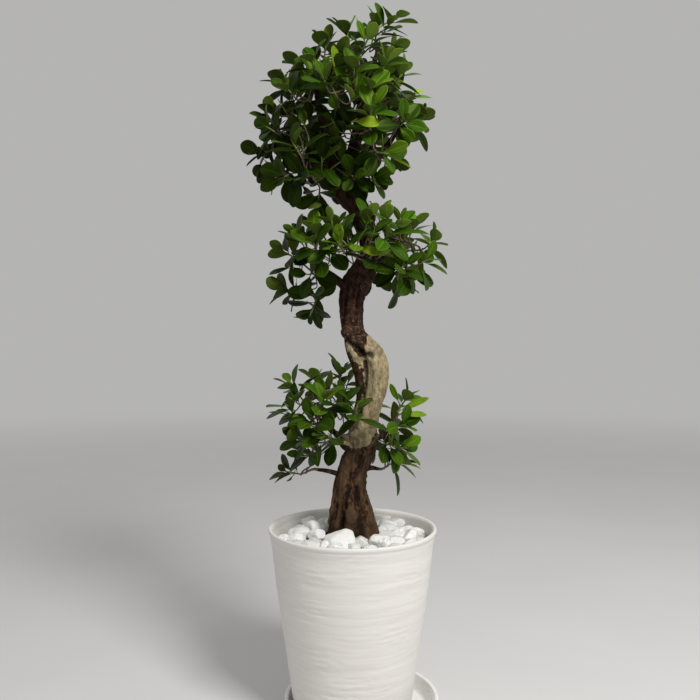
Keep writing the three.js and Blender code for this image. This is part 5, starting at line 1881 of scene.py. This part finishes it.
# Brush strokes that run round the pot, a few millimetres high and uneven along their length
def brush_strokes(angles, radii, heights):
    circle = np.stack([np.cos(angles), np.sin(angles)], axis=-1) * BRUSH_RADIUS
    points = np.concatenate([circle, heights[..., None]], axis=-1).reshape(-1, 3)
    drift = noise_at(points, (75, 75, 60), 1.3)
    points[:, 2] += 3 * np.sin(angles.ravel() + 0.7) + 9 * drift
    rough = blend_between(noise_at(points, (55, 55, 40), 7.7), -0.15, 0.35)
    marks = sum((smooth + added * rough) * noise_at(points, size, shift)
                for size, shift, smooth, added in BRUSH_MARKS).reshape(angles.shape)
    inner = pot_inner_radius(heights)
    outside = blend_between(radii, inner + 2.2, inner + 3.0)
    shown = np.maximum(outside * band(heights, *BRUSHED_OUTSIDE),
                       INSIDE_SHARE * (1 - outside) * band(heights, *BRUSHED_INSIDE))
    return marks * shown, np.zeros_like(marks)


def build_pot(look):
    foot = [(POT_FOOT_RADIUS - POT_FOOT_WIDTH, POT_FOOT_Z), (POT_FOOT_RADIUS - 1.2, POT_FOOT_Z)]
    heights = np.arange(POT_FOOT_Z + 1.0, POT_WALL_TOP, POT_ROW)
    wall_z = [POT_FOOT_Z, *(height for _, height in POT_WALL)]
    wall_r = [POT_FOOT_RADIUS, *(radius for radius, _ in POT_WALL)]
    flare = POT_FLARE["out"] * blend_between(heights, *POT_FLARE["between"])
    wall = zip(np.interp(heights, wall_z, wall_r) + flare, heights)
    inside = [(pot_inner_radius(height), height) for height in INNER_ROWS]
    recess = POT_FOOT_Z + POT_FOOT_RECESS
    floor = [(POT_INNER_FOOT_RADIUS, POT_FLOOR_TOP), (DRAIN_RADIUS, POT_FLOOR_TOP), (DRAIN_RADIUS, recess),
             (POT_FOOT_RADIUS - POT_FOOT_WIDTH - 3, recess), foot[0]]
    stack = Stack()
    profile = [*foot, *wall, *rounded(POT_BEAD, 1), *inside, *floor]
    stack.add(*turned_stack(profile, POT_SIDES, brush_strokes))
    place_piece("pot_brushed", closed_ring(stack, "pot_brushed", look), "pot")


# Joins the first and last rows of a turned ring, and closes a shape that reaches its axis
def closed_ring(stack, name, look):
    mesh = stack.mesh(name, [look])
    shape = bmesh.new()
    shape.from_mesh(mesh)
    bmesh.ops.remove_doubles(shape, verts=shape.verts, dist=SEAM)
    bmesh.ops.recalc_face_normals(shape, faces=shape.faces)
    shape.to_mesh(mesh)
    shape.free()
    mesh.update()
    return mesh


def build_saucer(look):
    stack = Stack()
    profile = [*SAUCER_UNDERSIDE, *rounded(SAUCER_WALL), *SAUCER_INSIDE]
    points, faces = turned_stack(profile, SAUCER_SIDES)
    stack.add(points + np.array([SAUCER_OFFSET_X, 0, 0]), faces)
    place_piece("saucer_glazed", closed_ring(stack, "saucer_glazed", look), "saucer")


# Lumps on the top of the soil, which is level elsewhere
def soil_crumbs(angles, radii, heights):
    points = np.stack([radii * np.cos(angles), radii * np.sin(angles), heights], axis=-1).reshape(-1, 3)
    lumps = (0.9 * noise_at(points, 9, 2.2) + 0.6 * noise_at(points, 3.6, 6.1)).reshape(angles.shape)
    return np.zeros_like(lumps), (lumps - CRUMB_SINK) * (heights > SOIL_TOP - 0.5) * (radii < CRUMBS_REACH)


# The soil with the hole that the stump stands in
def build_soil(look):
    rim = pot_inner_radius(SOIL_TOP) - CLEARANCE
    bottom, hole_bottom = POT_FLOOR_TOP + CLEARANCE, STUMP_BOTTOM - CLEARANCE
    profile = [
        (0.0, bottom),
        (pot_inner_radius(POT_FLOOR_TOP) - CLEARANCE, bottom),
        *((float(radius), SOIL_TOP) for radius in np.arange(rim, STUMP_TOP_RADIUS + 3, -SOIL_ROW)),
        (STUMP_TOP_RADIUS + 2 * CLEARANCE, SOIL_TOP),
        (STUMP_BOTTOM_RADIUS + 2 * CLEARANCE, hole_bottom),
        (0.0, hole_bottom),
    ]
    stack = Stack()
    stack.add(*turned_stack(profile, SOIL_SIDES, soil_crumbs))
    place_piece("soil_crumbs", closed_ring(stack, "soil_crumbs", look), "soil")


# Pebbles

PEBBLE_COUNT = 40
PEBBLE_SEED = 7100
PEBBLE_HEAP = 5
PEBBLE_RADIUS_MIN = 10
PEBBLE_RADIUS_MAX = 13.5
PEBBLE_WANDER = 0.3
STONE_LONGER = (1, 0.2)
PEBBLE_HEIGHT = (0.7, 0.2)
BED_STONE_HEIGHT = (0.7, 0.15)
STONE_LIFT = 3
STONE_TURN = 6
# The large stone before the trunk: its place, its size and how it is turned
FRONT_PEBBLE = ((-20, -60, 279), (27, 19, 18), (0.15, 0.1, 0.1))
FRONT_PEBBLE_ROOM = 22
BED_STONES = 150
BED_RADII = (9, 14)
BED_LEVEL = 266
BED_CLOSENESS = 0.8
CHIPS = 150
CHIP_RADII = (5, 8.5)
CHIP_CLOSENESS = 0.72
TRIES_PER_STONE = 60
STONE_ROUNDNESS = 34.0
STONE_FACETS = 11
FACET_DEPTH = (0.62, 0.24)
STONE_SWELL = 1.24
STONE_SHIFTS = 40
PEBBLE_STEP = 31
PEBBLE_LOOK_SEED = 5000
# How finely the ball of a stone is divided: in the bed, on top and at the front
BALL_LEVELS = (3, 4, 5)
FINE_STONES_BEFORE = -10


# The size and the turn of a stone
def drawn_stone(draw, radius, height):
    size = (radius * drawn(draw, STONE_LONGER), radius, radius * drawn(draw, height))
    return size, tuple(STONE_TURN * draw() for _ in range(3))


# The stones that show most, on a spiral out from the trunk
def top_stones():
    draw = random_from(PEBBLE_SEED)
    inner = STUMP_TOP_RADIUS + 14
    outer = pot_inner_radius(POT_INNER_RIM_Z) - PEBBLE_RADIUS_MAX - 3
    golden = math.pi * (3 - math.sqrt(5))
    stones = [FRONT_PEBBLE]
    for index in range(PEBBLE_COUNT):
        share = (index + 0.5) / PEBBLE_COUNT
        reach = math.sqrt(inner ** 2 + share * (outer ** 2 - inner ** 2))
        angle = index * golden + PEBBLE_WANDER * draw()
        radius = PEBBLE_RADIUS_MIN + (PEBBLE_RADIUS_MAX - PEBBLE_RADIUS_MIN) * draw()
        heap = PEBBLE_HEAP * (1 - share) + STONE_LIFT * draw()
        size, turn = drawn_stone(draw, radius, PEBBLE_HEIGHT)
        place = (reach * math.cos(angle), reach * math.sin(angle), SOIL_TOP + 2 * CLEARANCE + size[2] + heap)
        if math.dist(place[:2], FRONT_PEBBLE[0][:2]) > FRONT_PEBBLE_ROOM:
            stones.append((place, size, turn))
    return stones


# Smaller stones that fill the bed between and below the others, as close as the share lets them lie
def filling_stones(count, radii, level, above, share, seed):
    draw = random_from(seed)
    stones = []
    spread = pot_inner_radius(level) - 2
    nearest = STUMP_TOP_RADIUS + 4
    for _ in range(TRIES_PER_STONE * count):
        if len(stones) == count:
            break
        radius = radii[0] + (radii[1] - radii[0]) * draw()
        reach = nearest + (spread - radius - nearest) * math.sqrt(draw())
        angle = 2 * math.pi * draw()
        size, turn = drawn_stone(draw, radius, BED_STONE_HEIGHT)
        place = (reach * math.cos(angle), reach * math.sin(angle), level + STONE_LIFT * draw())
        if all(math.dist(place[:2], other[:2]) > share * (radius + their[1])
               for other, their, _ in above + stones):
            stones.append((place, size, turn))
    return stones


# A tumbled stone: a ball flattened by a few soft facets
def stone_points(ball, seed):
    draw = random_from(seed)
    press = np.zeros(len(ball))
    for _ in range(STONE_FACETS):
        facet = unit(any_way(draw))
        press += (np.clip(ball @ facet, 0, None) / drawn(draw, FACET_DEPTH)) ** STONE_ROUNDNESS
    reach = (1 + press) ** (-1 / STONE_ROUNDNESS)
    broad = noise_at(ball, 0.7, STONE_SHIFTS * draw())
    fine = noise_at(ball, 0.25, STONE_SHIFTS * draw())
    return ball * (STONE_SWELL * reach * (1 + 0.045 * broad + 0.015 * fine))[:, None]


# Points and faces of a ball, finer with each level
def ball_shape(level):
    shape = bmesh.new()
    bmesh.ops.create_icosphere(shape, subdivisions=level, radius=1.0)
    points = np.array([vert.co[:] for vert in shape.verts])
    faces = [tuple(vert.index for vert in face.verts) for face in shape.faces]
    shape.free()
    return points, faces


# All the stones in one piece, each with its own shape and tone
def build_pebbles(look):
    bed_ball, top_ball, front_ball = (ball_shape(level) for level in BALL_LEVELS)
    above = top_stones()
    below = filling_stones(BED_STONES, BED_RADII, BED_LEVEL, above, BED_CLOSENESS, PEBBLE_SEED + 1)
    below += filling_stones(CHIPS, CHIP_RADII, BED_LEVEL, above + below, CHIP_CLOSENESS, PEBBLE_SEED + 2)
    stack = Stack(("stone_look",))
    for index, (place, size, turn) in enumerate(above + below):
        if index >= len(above):
            ball, faces = bed_ball
        else:
            ball, faces = front_ball if place[1] < FINE_STONES_BEFORE else top_ball
        rotation = np.array(Euler(turn).to_matrix())
        points = (stone_points(ball, PEBBLE_SEED + PEBBLE_STEP * index) @ rotation.T) * np.array(size)
        draw = random_from(PEBBLE_SEED + PEBBLE_LOOK_SEED + index)
        stack.add(points + np.array(place), faces, stone_look=(draw(), draw(), 0))
    place_piece("pebble_stones", stack.mesh("pebble_stones", [look]), "pebbles")


# Camera, light and floor

CAMERA_AT = (-0.0037, -1.1, 0.563)
CAMERA_LENS = 36.41
SENSOR = 36.0
KEY_AT = (1.0, -1.45, 2.1)
KEY_AIM = (0.0, 0.0, 0.55)
KEY_SIZE = 0.7
KEY_WATTS = 54.0
KEY_COLOUR = (1.0, 0.985, 0.96)
FLOOR_LEVEL = -0.0005


def add_camera():
    data = bpy.data.cameras.new("camera")
    data.lens = CAMERA_LENS
    data.sensor_width = SENSOR
    camera = bpy.data.objects.new("camera", data)
    camera.location = CAMERA_AT
    camera.rotation_euler = (math.pi / 2, 0, 0)
    bpy.context.collection.objects.link(camera)
    bpy.context.scene.camera = camera


# One soft lamp from the upper right
def add_key_light():
    data = bpy.data.lights.new("key", "AREA")
    data.size = KEY_SIZE
    data.energy = KEY_WATTS
    data.color = KEY_COLOUR
    light = bpy.data.objects.new("key", data)
    light.location = KEY_AT
    light.rotation_euler = (Vector(KEY_AIM) - Vector(KEY_AT)).to_track_quat("-Z", "Y").to_euler()
    bpy.context.collection.objects.link(light)


# An even grey studio and a plain floor
def add_surroundings():
    world = bpy.data.worlds.new("studio")
    world.use_nodes = True
    background = world.node_tree.nodes["Background"]
    background.inputs["Color"].default_value = (*STUDIO_GREY, 1)
    background.inputs["Strength"].default_value = STUDIO_STRENGTH
    bpy.context.scene.world = world
    bpy.context.scene.view_settings.view_transform = "Standard"
    half = FLOOR_SIZE / 2
    corners = [(-half, -half, 0), (half, -half, 0), (half, half, 0), (-half, half, 0)]
    mesh = bpy.data.meshes.new("floor")
    mesh.from_pydata(corners, [], [(0, 1, 2, 3)])
    mesh.materials.append(floor_material())
    floor = bpy.data.objects.new("floor", mesh)
    floor.location.z = FLOOR_LEVEL
    bpy.context.collection.objects.link(floor)


add_camera()
add_key_light()
add_surroundings()
build_saucer(saucer_material())
build_pot(pot_material())
build_soil(soil_material())
build_pebbles(pebble_material())
build_trunk(bark_material())
spray_plans, all_bars = plan_sprays()
all_leaves = plan_leaves(spray_plans, all_bars)
fill_sprays(spray_plans, all_bars, all_leaves)
build_sprays(spray_plans, leaf_material(), twig_material())
